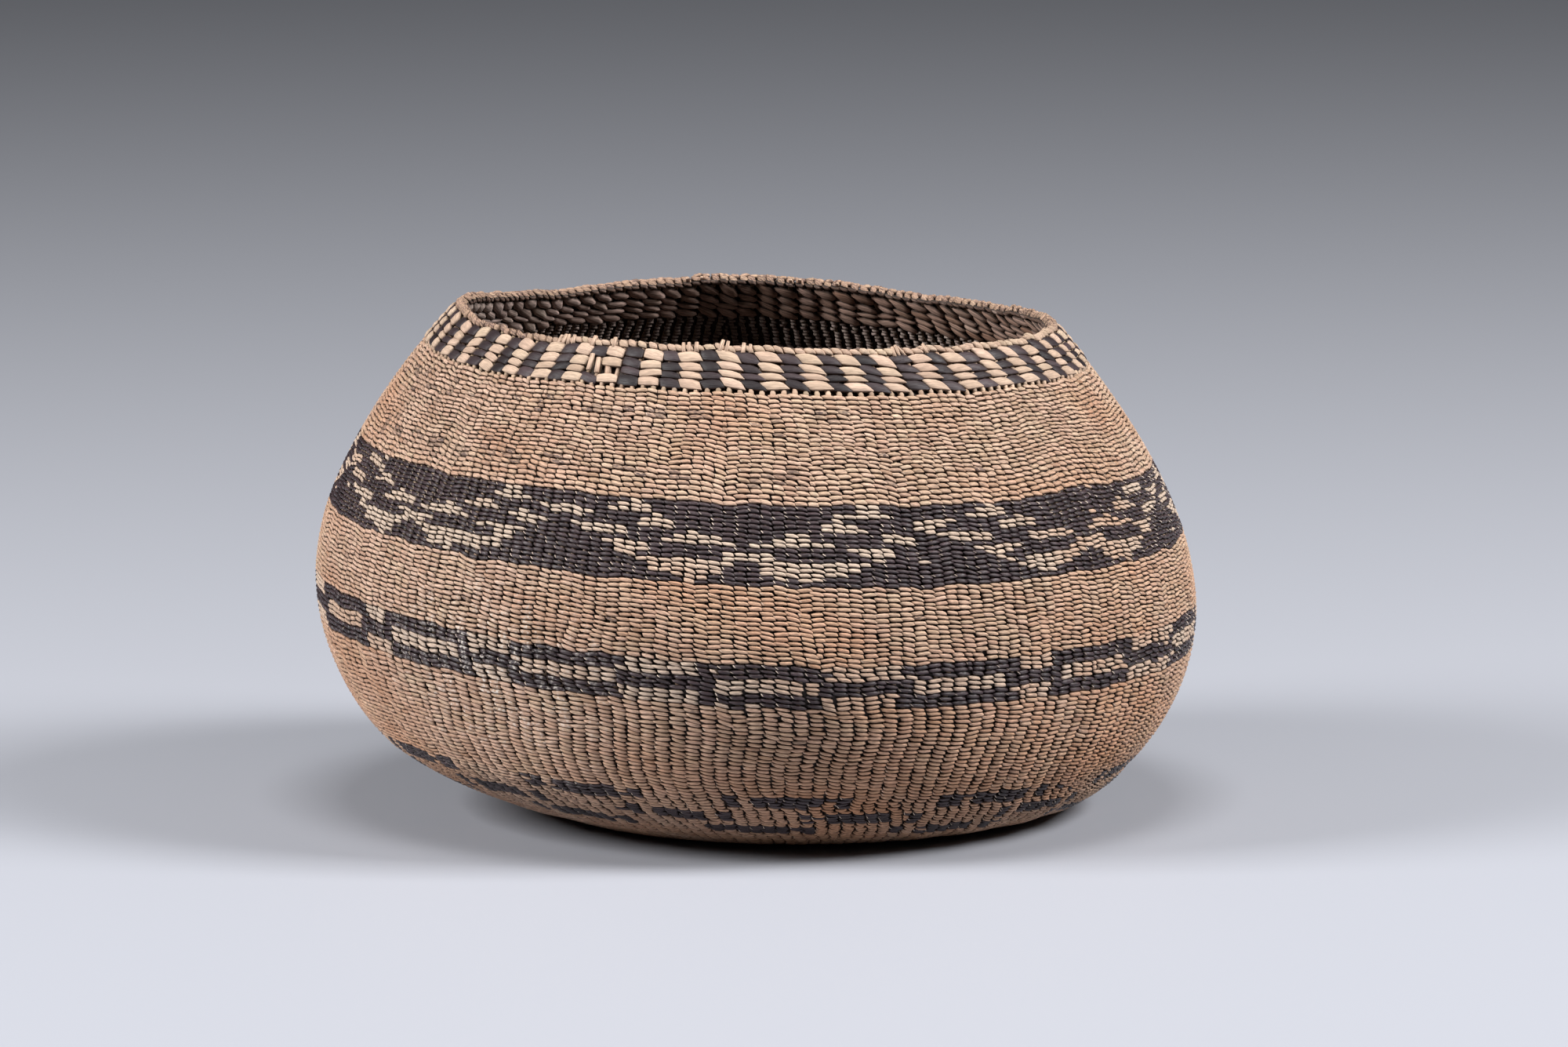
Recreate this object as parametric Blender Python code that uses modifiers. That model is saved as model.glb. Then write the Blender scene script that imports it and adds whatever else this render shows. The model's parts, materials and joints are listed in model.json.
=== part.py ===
# A round-bellied storage basket in plain twining. Upright warps make a cage, and rows of twined weft
# wrap it on both sides. The rows are grouped in courses, one piece for each stretch of one colour or
# pattern, from the starting knot in the middle of the base up to the row that locks the rim.
# Units are metres, +Z is up, and the origin is on the floor under the middle of the belly.
# A place in the wall is given by its distance along the outline from the middle of the base, and by
# its depth under the outside of the weave.

import math

import bpy
import numpy as np

# The outline, measured on the outside of the weave
BELLY_DIAMETER = 0.300
BELLY_HEIGHT = 0.075
MOUTH_DIAMETER = 0.201
RIM_HEIGHT = 0.170
BASE_DIAMETER = 0.150
SHOULDER_POWER = 1.75

# The basket has settled to its right. Its wall leans, its base lies off the middle, and both fade out
# over a stretch round the edge of the base that is longer on the low side.
LEAN = math.radians(2.2)
BASE_OFFSET = 0.008
HIGH_SIDE_REACH = 0.013
LOW_SIDE_REACH = 0.053

# The rim dips between its four corners, most at the back and on the high side
RIM_DIP = 0.00225
RIM_DIP_MORE_AT_BACK = 0.00134
RIM_DIP_MORE_ON_HIGH_SIDE = 0.0016
RIM_DIP_REACH = 0.095

# The layers of the wall, from the outside in
OUTER_WEFT = 0.0010
WARP_THICKNESS = 0.0014
INNER_WEFT = 0.0012
LAYER_GAP = 0.0003

# The base
COURSE_GAP = 0.0003
START_DIAMETER = 0.022
BASE_RINGS = 3

# The rim
CHECK_ROWS = 4
CHECK_ROW_HEIGHT = 0.004
CHECK_CROWN = 0.0005
RIM_ROW_HEIGHT = 0.0027
RIM_CROWN = 0.0004
WARP_STUB = 0.0012

# The fine courses from the edge of the base up to the checks: the name, the number of rows, the
# finish, and whether the layers behind have a ring at its top edge
FINE_COURSES = (
    ("turn_course_1", 8, "tan_weft", True),
    ("turn_course_2", 7, "tan_weft", True),
    ("turn_course_3", 7, "tan_weft", True),
    ("lower_band_bottom_dashes", 4, "dark_weft", False),
    ("lower_band_bottom_pale_rows", 2, "pale_weft", True),
    ("lower_band_middle_dashes", 4, "dark_weft", False),
    ("lower_band_top_pale_rows", 2, "pale_weft", False),
    ("lower_band_top_dashes", 4, "dark_weft", True),
    ("lower_wall_course_1", 8, "tan_weft", True),
    ("lower_wall_course_2", 8, "tan_weft", True),
    ("lower_wall_course_3", 7, "tan_weft", True),
    ("middle_band_bottom_bars", 3, "dark_weft", False),
    ("middle_band_centre_bars", 3, "pale_weft", False),
    ("middle_band_top_bars", 3, "dark_weft", True),
    ("middle_wall_course_1", 8, "tan_weft", True),
    ("middle_wall_course_2", 8, "tan_weft", True),
    ("upper_band_rising_triangles", 6, "dark_weft", True),
    ("upper_band_zigzags", 5, "patterned_weft", False),
    ("upper_band_hanging_triangles", 6, "dark_weft", True),
    ("shoulder_course_1", 8, "tan_weft", True),
    ("shoulder_course_2", 8, "tan_weft", True),
    ("shoulder_course_3", 9, "tan_weft", True),
)

# The inner faces of the wall's courses, each stretch up to the top of the course that it names
INNER_STRETCHES = (
    ("inner_turn_courses", "turn_course_3"),
    ("inner_lower_band_courses", "lower_band_top_dashes"),
    ("inner_lower_wall_courses", "lower_wall_course_3"),
    ("inner_middle_band_courses", "middle_band_top_bars"),
    ("inner_middle_wall_courses", "middle_wall_course_2"),
    ("inner_upper_band_courses", "upper_band_hanging_triangles"),
    ("inner_shoulder_courses", "shoulder_course_3"),
)

# How finely the round forms are cut into facets
SECTORS = 36
OUTLINE_STEPS = 400

# Colour, roughness and metallic value of each finish
FINISHES = {
    "tan_weft": ((0.46, 0.30, 0.19), 0.80, 0.0),
    "dark_weft": ((0.035, 0.028, 0.030), 0.70, 0.0),
    "patterned_weft": ((0.16, 0.12, 0.10), 0.75, 0.0),
    "pale_weft": ((0.58, 0.46, 0.33), 0.75, 0.0),
    "inside_weft": ((0.13, 0.085, 0.06), 0.85, 0.0),
    "warp": ((0.25, 0.16, 0.10), 0.85, 0.0),
}

BELLY_RADIUS = BELLY_DIAMETER / 2
MOUTH_RADIUS = MOUTH_DIAMETER / 2
BASE_RADIUS = BASE_DIAMETER / 2
START_RADIUS = START_DIAMETER / 2
WARP_DEPTH = OUTER_WEFT + LAYER_GAP
INNER_DEPTH = WARP_DEPTH + WARP_THICKNESS + LAYER_GAP
WALL_THICKNESS = INNER_DEPTH + INNER_WEFT


def outline():
    """Radius and height of the outside: the flat base, a quarter ellipse to the belly, then the shoulder."""
    turn = np.linspace(0, math.pi / 2, OUTLINE_STEPS)
    rise = np.linspace(0, 1, OUTLINE_STEPS)[1:]
    radius = np.concatenate(
        [
            [0],
            BASE_RADIUS + (BELLY_RADIUS - BASE_RADIUS) * np.sin(turn),
            BELLY_RADIUS - (BELLY_RADIUS - MOUTH_RADIUS) * rise**SHOULDER_POWER,
        ]
    )
    height = np.concatenate(
        [
            [0],
            BELLY_HEIGHT * (1 - np.cos(turn)),
            BELLY_HEIGHT + (RIM_HEIGHT - BELLY_HEIGHT) * rise,
        ]
    )
    return radius, height


RADII, HEIGHTS = outline()
LENGTHS = np.concatenate([[0], np.cumsum(np.hypot(np.diff(RADII), np.diff(HEIGHTS)))])
WALL_END = float(LENGTHS[-1])
CHECK_TOP = WALL_END - RIM_ROW_HEIGHT
CHECK_BOTTOM = CHECK_TOP - CHECK_ROWS * CHECK_ROW_HEIGHT
ROW_PITCH = (CHECK_BOTTOM - BASE_RADIUS) / sum(rows for _, rows, _, _ in FINE_COURSES)


def on_outline(along):
    """Radius and height of the point of the outline at a distance along it."""
    return np.interp(along, LENGTHS, RADII), np.interp(along, LENGTHS, HEIGHTS)


def in_wall(along, depth):
    """Radius and height of a point at a distance along the outline and at a depth under it."""
    radius, height = on_outline(along)
    if along <= BASE_RADIUS:
        return radius, height + depth
    low_radius, low_height = on_outline(min(along, WALL_END) - ROW_PITCH / 2)
    high_radius, high_height = on_outline(along + ROW_PITCH / 2)
    angle = math.atan2(high_height - low_height, high_radius - low_radius)
    beyond_rim = max(along - WALL_END, 0)
    radius += beyond_rim * math.cos(angle) - depth * math.sin(angle)
    height += beyond_rim * math.sin(angle) + depth * math.cos(angle)
    return radius, height


def clamp(value):
    return min(max(value, 0), 1)


def settled(x, y, z):
    """Where a point of the upright, even basket lies once the basket has settled."""
    angle = math.atan2(y, x)
    outward = math.hypot(x, y) - BASE_RADIUS
    upward = z / BELLY_HEIGHT
    reach = (LOW_SIDE_REACH + HIGH_SIDE_REACH + (LOW_SIDE_REACH - HIGH_SIDE_REACH) * math.cos(angle)) / 2
    risen = clamp(max(outward / reach, upward))
    lean = x * math.tan(LEAN) * risen**2 * (3 - 2 * risen)
    moved = BASE_OFFSET * (1 - clamp(max(outward / LOW_SIDE_REACH, upward)) ** 2)
    dip = RIM_DIP + RIM_DIP_MORE_AT_BACK * math.sin(angle) - RIM_DIP_MORE_ON_HIGH_SIDE * math.cos(angle)
    near_rim = clamp(1 - (RIM_HEIGHT - z) / RIM_DIP_REACH)
    return x + moved, y, z - lean - dip * (math.sin(2 * angle) * near_rim) ** 2


def finish(name):
    """The material of one finish, made once and shared."""
    if name in bpy.data.materials:
        return bpy.data.materials[name]
    colour, roughness, metallic = FINISHES[name]
    material = bpy.data.materials.new(name)
    material.use_nodes = True
    shader = material.node_tree.nodes["Principled BSDF"]
    shader.inputs["Base Color"].default_value = (*colour, 1.0)
    shader.inputs["Roughness"].default_value = roughness
    shader.inputs["Metallic"].default_value = metallic
    material.diffuse_color = (*colour, 1.0)
    return material


def guide(profile):
    """A profile in the XZ plane with a Screw modifier. It closes on itself unless it starts on the axis."""
    points = [in_wall(along, depth) for along, depth in profile]
    edges = [(i - 1, i) for i in range(1, len(points))]
    if profile[0][0] > 0:
        edges.append((len(points) - 1, 0))
    mesh = bpy.data.meshes.new("profile")
    mesh.from_pydata([(radius, 0, height) for radius, height in points], edges, [])
    line = bpy.data.objects.new("profile", mesh)
    BASKET.objects.link(line)
    screw = line.modifiers.new("Turn", "SCREW")
    screw.axis = "Z"
    screw.steps = SECTORS
    screw.render_steps = SECTORS
    screw.use_merge_vertices = True
    screw.merge_threshold = LAYER_GAP / 10
    return line


def turned(name, profile, finish_name):
    """A piece turned from (along, depth) points that run up its inner side and down its outer side."""
    line = guide(profile)
    bpy.context.view_layer.update()
    evaluated = line.evaluated_get(bpy.context.evaluated_depsgraph_get())
    mesh = bpy.data.meshes.new_from_object(evaluated)
    bpy.data.objects.remove(line)
    mesh.name = name
    for vertex in mesh.vertices:
        vertex.co = settled(*vertex.co)
    mesh.shade_smooth()
    mesh.set_sharp_from_angle(angle=math.radians(40))
    mesh.materials.clear()
    mesh.materials.append(finish(finish_name))
    BASKET.objects.link(bpy.data.objects.new(name, mesh))


def layer(name, edges, outside, inside, finish_name):
    """A layer of the wall between two depths, with a ring of corners at each distance along it."""
    inner_side = [(along, inside) for along in edges]
    outer_side = [(along, outside) for along in reversed(edges)]
    turned(name, inner_side + outer_side, finish_name)


def crowned_row(name, low, high, crown, finish_name):
    """One broad row whose outer side stands out half-way up it."""
    low, high = low + COURSE_GAP / 2, high - COURSE_GAP / 2
    inner_side = [(low, OUTER_WEFT), (high, OUTER_WEFT)]
    outer_side = [(high, 0), ((low + high) / 2, -crown), (low, 0)]
    turned(name, inner_side + outer_side, finish_name)


def base_pieces():
    """The knot in the middle of the base and the rings of twining round it."""
    layer("start_knot", [0, START_RADIUS - COURSE_GAP / 2], 0, OUTER_WEFT, "tan_weft")
    width = (BASE_RADIUS - START_RADIUS) / BASE_RINGS
    for i in range(BASE_RINGS):
        low = START_RADIUS + i * width + COURSE_GAP / 2
        layer(f"base_course_{i + 1}", [low, low + width - COURSE_GAP], 0, OUTER_WEFT, "tan_weft")


def fine_courses():
    """Every fine course of the wall. Returns the top edge of each that the layers behind share."""
    shared = {}
    low = BASE_RADIUS
    for name, rows, finish_name, is_shared in FINE_COURSES:
        high = low + rows * ROW_PITCH
        layer(name, [low + COURSE_GAP / 2, high - COURSE_GAP / 2], 0, OUTER_WEFT, finish_name)
        if is_shared:
            shared[name] = high
        low = high
    return shared


def rim_pieces():
    """The broad rows of checks and the single row that locks the rim."""
    for i in range(CHECK_ROWS):
        low = CHECK_BOTTOM + i * CHECK_ROW_HEIGHT
        crowned_row(f"check_row_{i + 1}", low, low + CHECK_ROW_HEIGHT, CHECK_CROWN, "patterned_weft")
    crowned_row("rim_row", CHECK_TOP, WALL_END, RIM_CROWN, "pale_weft")


def warp_cage(shared):
    """All the warps side by side, from the crossing in the base to the ends trimmed just above the rim."""
    edges = [0, BASE_RADIUS, *shared.values(), CHECK_TOP, WALL_END + WARP_STUB]
    layer("warps", edges, WARP_DEPTH, WARP_DEPTH + WARP_THICKNESS, "warp")


def inner_faces(shared):
    """The inner faces of the base, of each stretch of the wall, and of the checks and the rim row."""
    half = COURSE_GAP / 2
    layer("inner_base_courses", [0, BASE_RADIUS - half], INNER_DEPTH, WALL_THICKNESS, "inside_weft")
    low = BASE_RADIUS
    for name, last_course in INNER_STRETCHES:
        high = shared[last_course]
        between = [edge for edge in shared.values() if low < edge < high]
        edges = [low + half, *between, high - half]
        layer(name, edges, INNER_DEPTH, WALL_THICKNESS, "inside_weft")
        low = high
    edges = [low + half, CHECK_TOP, WALL_END - half]
    layer("inner_check_courses", edges, INNER_DEPTH, WALL_THICKNESS, "inside_weft")


for old in list(bpy.data.objects):
    bpy.data.objects.remove(old, do_unlink=True)
BASKET = bpy.data.collections.new("storage_basket")
bpy.context.scene.collection.children.link(BASKET)
base_pieces()
shared_edges = fine_courses()
rim_pieces()
warp_cage(shared_edges)
inner_faces(shared_edges)
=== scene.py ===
# %% [markdown]
# # A twined storage basket
# This basket is woven in plain twining. Thin upright rods, the warps, make a cage. Pairs of strands,
# the weft, run round it row after row: they cross between every two warps, so that one strand shows
# outside and the other inside. What the eye sees is some thirty thousand plump little stitches, so
# the whole basket is made of stitches here too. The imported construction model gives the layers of
# the wall and the names of its courses, and every course gets a piece that stands for it.

# %% Load the frame
import json
import math

import bpy
import numpy as np
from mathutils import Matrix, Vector

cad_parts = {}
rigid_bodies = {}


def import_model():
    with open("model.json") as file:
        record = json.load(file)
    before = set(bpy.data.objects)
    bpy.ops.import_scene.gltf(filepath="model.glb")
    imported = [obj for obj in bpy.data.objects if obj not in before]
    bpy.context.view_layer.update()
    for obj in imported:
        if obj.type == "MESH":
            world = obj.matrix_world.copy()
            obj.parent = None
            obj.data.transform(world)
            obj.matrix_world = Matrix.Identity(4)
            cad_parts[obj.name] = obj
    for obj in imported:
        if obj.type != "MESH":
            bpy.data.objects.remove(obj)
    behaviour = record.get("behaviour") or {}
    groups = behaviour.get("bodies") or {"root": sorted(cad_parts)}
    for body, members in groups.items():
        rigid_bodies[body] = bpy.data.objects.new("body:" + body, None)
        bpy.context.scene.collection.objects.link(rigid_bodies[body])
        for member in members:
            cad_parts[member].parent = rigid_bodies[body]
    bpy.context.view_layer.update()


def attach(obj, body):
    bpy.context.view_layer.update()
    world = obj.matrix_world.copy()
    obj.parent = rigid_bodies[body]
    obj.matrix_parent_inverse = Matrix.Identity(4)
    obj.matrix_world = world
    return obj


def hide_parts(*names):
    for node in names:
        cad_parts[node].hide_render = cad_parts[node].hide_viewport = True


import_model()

# %% [markdown]
# ## The camera
# The camera comes first, because every later choice is judged through it. The basket was seen from a
# few steps away, slightly from above, with a long lens. How much the mouth's ellipse opens tells the
# height of the camera, and how much larger the near side looks than the far side tells its distance.

# %% Camera
# In metres and radians, but for the lens
CAMERA_DISTANCE = 3.2
CAMERA_ELEVATION = math.radians(8.36)
CAMERA_AIM = Vector((0.0093, 0, 0.0962))
LOOKED_AT_HEIGHT = 0.09
LENS_MM = 215.8
SENSOR_MM = 36

camera_data = bpy.data.cameras.new("camera")
camera_data.lens = LENS_MM
camera_data.sensor_width = SENSOR_MM
camera = bpy.data.objects.new("camera", camera_data)
camera.location = (
    0,
    -CAMERA_DISTANCE * math.cos(CAMERA_ELEVATION),
    LOOKED_AT_HEIGHT + CAMERA_DISTANCE * math.sin(CAMERA_ELEVATION),
)
camera.rotation_euler = (CAMERA_AIM - camera.location).to_track_quat("-Z", "Y").to_euler()
bpy.context.scene.collection.objects.link(camera)
bpy.context.scene.camera = camera
print("camera at", [round(value, 3) for value in camera.location])

# %% [markdown]
# ## The surface that the weave follows
# A basket could be sculpted first and wrapped in stitches afterwards. It is simpler to have one
# formula that turns a place in the weave into a point: how far round, how far along the outline from
# the middle of the base, and how deep under the outside. The outline is a flat base, a quarter
# ellipse up to the belly, and a shoulder that draws in to the mouth.

# %% Outline
BELLY_RADIUS = 0.150
BELLY_HEIGHT = 0.075
MOUTH_RADIUS = 0.1005
RIM_HEIGHT = 0.170
BASE_RADIUS = 0.075
SHOULDER_POWER = 1.75
OUTLINE_STEPS = 400


def outline():
    """Radius and height along the outside of the weave, from the middle of the base to the rim."""
    turn = np.linspace(0, math.pi / 2, OUTLINE_STEPS)
    rise = np.linspace(0, 1, OUTLINE_STEPS)[1:]
    lower_radius = BASE_RADIUS + (BELLY_RADIUS - BASE_RADIUS) * np.sin(turn)
    upper_radius = BELLY_RADIUS - (BELLY_RADIUS - MOUTH_RADIUS) * rise**SHOULDER_POWER
    lower_height = BELLY_HEIGHT * (1 - np.cos(turn))
    upper_height = BELLY_HEIGHT + (RIM_HEIGHT - BELLY_HEIGHT) * rise
    radius = np.concatenate([[0], lower_radius, upper_radius])
    height = np.concatenate([[0], lower_height, upper_height])
    return radius, height


RADII, HEIGHTS = outline()
LENGTHS = np.concatenate([[0], np.cumsum(np.hypot(np.diff(RADII), np.diff(HEIGHTS)))])
WALL_END = float(LENGTHS[-1])
SMALL_STEP = 0.0008


def on_outline(along):
    """Radius and height of the outline at distances along it, going straight on beyond the rim."""
    beyond = np.maximum(along - WALL_END, 0)
    radius = np.interp(along, LENGTHS, RADII)
    height = np.interp(along, LENGTHS, HEIGHTS)
    end_run = RADII[-1] - RADII[-2]
    end_rise = HEIGHTS[-1] - HEIGHTS[-2]
    end_length = math.hypot(end_run, end_rise)
    return radius + beyond * end_run / end_length, height + beyond * end_rise / end_length


def in_wall(along, depth):
    """Radius and height of places at distances along the outline and at depths under it."""
    radius, height = on_outline(along)
    low_radius, low_height = on_outline(along - SMALL_STEP)
    high_radius, high_height = on_outline(along + SMALL_STEP)
    angle = np.arctan2(high_height - low_height, high_radius - low_radius)
    angle = np.where(along <= BASE_RADIUS, 0, angle)
    return radius - depth * np.sin(angle), height + depth * np.cos(angle)


print("outline from the middle of the base to the rim, in mm:", round(1000 * WALL_END, 1))

# %% [markdown]
# ## How the basket has settled
# A real basket isn't a perfect turned form. This one leans a little to its right, its base lies off
# the middle, and its rim dips between four soft corners. The same formula moves every layer, so the
# layers never cut through each other.

# %% Settling
LEAN = math.radians(2.2)
BASE_OFFSET = 0.008
HIGH_SIDE_REACH = 0.013
LOW_SIDE_REACH = 0.053
RIM_DIP = 0.00225
RIM_DIP_MORE_AT_BACK = 0.00134
RIM_DIP_MORE_ON_HIGH_SIDE = 0.0016
RIM_DIP_REACH = 0.095


def settled(x, y, z):
    """Where points of the upright, even basket lie once the basket has settled."""
    angle = np.arctan2(y, x)
    outward = np.hypot(x, y) - BASE_RADIUS
    upward = z / BELLY_HEIGHT
    reach = (LOW_SIDE_REACH + HIGH_SIDE_REACH + (LOW_SIDE_REACH - HIGH_SIDE_REACH) * np.cos(angle)) / 2
    risen = np.clip(np.maximum(outward / reach, upward), 0, 1)
    lean = x * math.tan(LEAN) * risen**2 * (3 - 2 * risen)
    moved = BASE_OFFSET * (1 - np.clip(np.maximum(outward / LOW_SIDE_REACH, upward), 0, 1) ** 2)
    dip = RIM_DIP + RIM_DIP_MORE_AT_BACK * np.sin(angle) - RIM_DIP_MORE_ON_HIGH_SIDE * np.cos(angle)
    near_rim = np.clip(1 - (RIM_HEIGHT - z) / RIM_DIP_REACH, 0, 1)
    return np.stack([x + moved, y, z - lean - dip * (np.sin(2 * angle) * near_rim) ** 2], axis=-1)


# %% [markdown]
# ## Rows that wander
# No maker's hand keeps thousands of stitches in perfect rings. Rows rise and fall by part of a
# millimetre over a few centimetres and lie some millimetres higher at the sides, columns sway, the wall
# swells a little here and there, and a few puckers stand out. Sums of waves with random directions,
# from fixed seeds, give this cheaply and the same each time. The patterns and the colours use them too.

# %% Waves and tables
FRONT = -math.pi / 2
WAVE_COUNT = 14

# Every kind of unevenness: its seed, the fewest and the most waves round, the length of a wave upwards
WAVES = {
    "slow rows": (3, 8, 30, 0.06),
    "quick rows": (4, 20, 60, 0.03),
    "rim": (5, 5, 16, 1),
    "swells": (6, 10, 50, 0.08),
    "broad swells": (7, 2, 9, 0.2),
    "columns": (8, 3, 25, 0.05),
    "ripples": (9, 40, 90, 0.025),
    "zigzag forms": (21, 3, 16, 0.03),
    "zigzag edges": (22, 40, 120, 0.004),
    "top dashes": (41, 2, 9, 1),
    "middle dashes": (42, 2, 9, 1),
    "bottom dashes": (43, 2, 9, 1),
    "patches": (51, 10, 45, 0.03),
    "clusters": (52, 25, 90, 0.01),
    "stains": (53, 3, 12, 0.08),
    "hues": (54, 8, 40, 0.03),
    "inside": (61, 10, 50, 0.02),
}


def waves(kind, angle, along=0):
    """Smooth noise round the basket, between about -1 and 1, that closes on itself."""
    seed, fewest, most, length = WAVES[kind]
    draw = np.random.default_rng(seed)
    total = 0
    for _ in range(WAVE_COUNT):
        turns = int(draw.integers(fewest, most + 1))
        climb = draw.normal() * 2 * math.pi / length
        phase = draw.uniform(0, 2 * math.pi)
        total = total + np.cos(turns * angle + climb * along + phase)
    return total * math.sqrt(2 / WAVE_COUNT) / 2


def degrees_round(angle):
    """Degrees from the front, positive to the right, between -180 and 180."""
    return (np.degrees(angle - FRONT) + 180) % 360 - 180


def read_off(table, value):
    """What a table of pairs gives for a value, which may lie between two of its pairs."""
    return np.interp(value, *zip(*table))


def bump_at(value, middle, half_width):
    """A soft bump that is 1 at the middle."""
    return np.exp(-(((value - middle) / half_width) ** 2))


# %% Wander
ROW_WANDER = 0.00030
RIM_WANDER = 0.00045
RIPPLE = 0.00022
WALL_SWELL = 0.00025
WANDER_FADE = 0.03
COLUMN_SWAY = math.radians(0.16)
SAMPLES = 721
SAMPLE_ALONG = 0.25

# How far the rows lie higher at the two sides than in front: distance along, rise
SIDE_RISE = (
    (0.075, 0.0), (0.1385, 0.0020), (0.176, 0.0049), (0.186, 0.0058),
    (0.215, 0.0036), (0.2426, 0.0014), (0.2833, 0.0),
)

# Each pucker: degrees round from the front, half-width in degrees, distance along, half-height, lift
PUCKERS = (
    (53.5, 8.5, 0.255, 0.022, 0.0027),
    (-4.0, 1.8, 0.252, 0.013, -0.0014),
    (-8.5, 2.0, 0.252, 0.012, 0.0007),
    (8.0, 2.4, 0.252, 0.012, -0.0009),
    (15.5, 2.4, 0.252, 0.014, 0.0013),
    (20.5, 1.6, 0.252, 0.012, -0.0013),
    (30.0, 2.4, 0.254, 0.012, 0.0006),
    (-55.0, 3.0, 0.254, 0.018, 0.0010),
    (-48.5, 2.4, 0.254, 0.018, -0.0008),
    (-33.0, 6.0, 0.262, 0.020, 0.0006),
    (23.0, 3.0, 0.225, 0.012, -0.0006),
)


def wandered(angle, along):
    """How far a place of the weave has moved along the outline, and how far out of the wall."""
    fade = np.clip((along - BASE_RADIUS) / WANDER_FADE, 0, 1)
    near_rim = np.clip(1 - (WALL_END - along) / WANDER_FADE, 0, 1)
    shift = ROW_WANDER * (waves("slow rows", angle, along) + waves("quick rows", angle, along))
    shift = shift + RIM_WANDER * near_rim * waves("rim", angle)
    shift = shift + RIPPLE * waves("ripples", angle, along)
    shift = shift + read_off(SIDE_RISE, along) * np.sin(angle - FRONT) ** 2
    for turn, half_width, middle, half_height, lift in PUCKERS:
        near = bump_at(degrees_round(angle), turn, half_width) * bump_at(along, middle, half_height)
        shift = shift + lift * near
    swell = WALL_SWELL * (waves("swells", angle, along) + waves("broad swells", angle, along))
    return fade * shift, fade * swell


def place(angle, along, depth):
    """The points of the weave at angles, distances along the outline and depths under it."""
    shift, swell = wandered(angle, along)
    angle = angle + COLUMN_SWAY * np.clip(along / BASE_RADIUS, 0, 1) * waves("columns", angle, along)
    radius, height = in_wall(along + shift, depth - swell)
    return settled(radius * np.cos(angle), radius * np.sin(angle), height)


sample_angles = np.linspace(0, 2 * math.pi, SAMPLES)
sample_shift, sample_swell = wandered(sample_angles, np.full(SAMPLES, SAMPLE_ALONG))
print("rows wander by up to", round(1000 * float(np.abs(sample_shift).max()), 2), "mm")
print("the wall swells by up to", round(1000 * float(np.abs(sample_swell).max()), 2), "mm")

# %% [markdown]
# ## The courses
# The rows are grouped in courses, as in the construction model: a new course starts where the colour
# or the pattern changes, or every eight rows or so in the plain stretches.

# %% Courses
OUTER_WEFT = 0.0010
WARP_THICKNESS = 0.0014
INNER_WEFT = 0.0012
LAYER_GAP = 0.0003
WARP_MIDDLE = OUTER_WEFT + LAYER_GAP + WARP_THICKNESS / 2
INNER_DEPTH = OUTER_WEFT + 2 * LAYER_GAP + WARP_THICKNESS
WALL_THICKNESS = INNER_DEPTH + INNER_WEFT
START_RADIUS = 0.011
BASE_RINGS = 3
CHECK_ROWS = 4
CHECK_ROW_HEIGHT = 0.004
RIM_ROW_HEIGHT = 0.0027
CHECK_TOP = WALL_END - RIM_ROW_HEIGHT
CHECK_BOTTOM = CHECK_TOP - CHECK_ROWS * CHECK_ROW_HEIGHT

# Each fine course from the edge of the base up: its name, its number of rows, its pattern
FINE_COURSES = (
    ("turn_course_1", 8, "plain"),
    ("turn_course_2", 7, "plain"),
    ("turn_course_3", 7, "plain"),
    ("lower_band_bottom_dashes", 4, "bottom dashes"),
    ("lower_band_bottom_pale_rows", 2, "pale rows"),
    ("lower_band_middle_dashes", 4, "middle dashes"),
    ("lower_band_top_pale_rows", 2, "pale rows"),
    ("lower_band_top_dashes", 4, "top dashes"),
    ("lower_wall_course_1", 8, "plain"),
    ("lower_wall_course_2", 8, "plain"),
    ("lower_wall_course_3", 7, "plain"),
    ("middle_band_bottom_bars", 3, "boxes"),
    ("middle_band_centre_bars", 3, "boxes"),
    ("middle_band_top_bars", 3, "boxes"),
    ("middle_wall_course_1", 8, "plain"),
    ("middle_wall_course_2", 8, "plain"),
    ("upper_band_rising_triangles", 6, "zigzags"),
    ("upper_band_zigzags", 5, "zigzags"),
    ("upper_band_hanging_triangles", 6, "zigzags"),
    ("shoulder_course_1", 8, "plain"),
    ("shoulder_course_2", 8, "plain"),
    ("shoulder_course_3", 9, "plain"),
)

# In the shoulder the rows are a little higher, so its courses take fewer of them
WOVEN_ROWS = {"shoulder_course_1": 7, "shoulder_course_2": 8, "shoulder_course_3": 8}
ROWS_OF = {course: rows for course, rows, _ in FINE_COURSES}
FINE_ROWS = sum(ROWS_OF.values())
FIRST_ROW = dict(zip(ROWS_OF, np.cumsum([0, *ROWS_OF.values()]).tolist()))
ROW_PITCH = (CHECK_BOTTOM - BASE_RADIUS) / FINE_ROWS


def row_above(course):
    """The number of the first row above a course."""
    return FIRST_ROW[course] + ROWS_OF[course]


print(FINE_ROWS, "fine rows of", round(1000 * ROW_PITCH, 3), "mm")

# %% [markdown]
# ## The warps, and where they start and stop
# The stitches of a row stand over the warps, one stitch to a warp, so they line up in columns. As the
# base and the wall widen, the maker adds a warp wherever a gap opens, and above the belly some are
# dropped. It would be simple to give every row its own even count, but then all columns would break at
# once. Here every warp has a start and a stop, a new one is narrow at first, and its neighbours
# make room for it within a few rows. The order in which they are added spreads them evenly round.

# %% Warps
STITCH_WIDTH = 0.0034
KNOT_STITCH = 0.0022
STITCH_WIDENING = 0.05
MOST_WARPS = 219
POSTS = 192
KNOT_RADIUS = 0.0045
GOLDEN_SHARE = (math.sqrt(5) - 1) / 2
NEW_WARP_SHARE = 0.4
MAKING_ROOM = 0.010
STATION_COUNT = 600
PAST_KNOT = 0.001
PAST_RIM = 0.002
STATIONS = np.linspace(KNOT_RADIUS - PAST_KNOT, WALL_END + PAST_RIM, STATION_COUNT)

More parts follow.
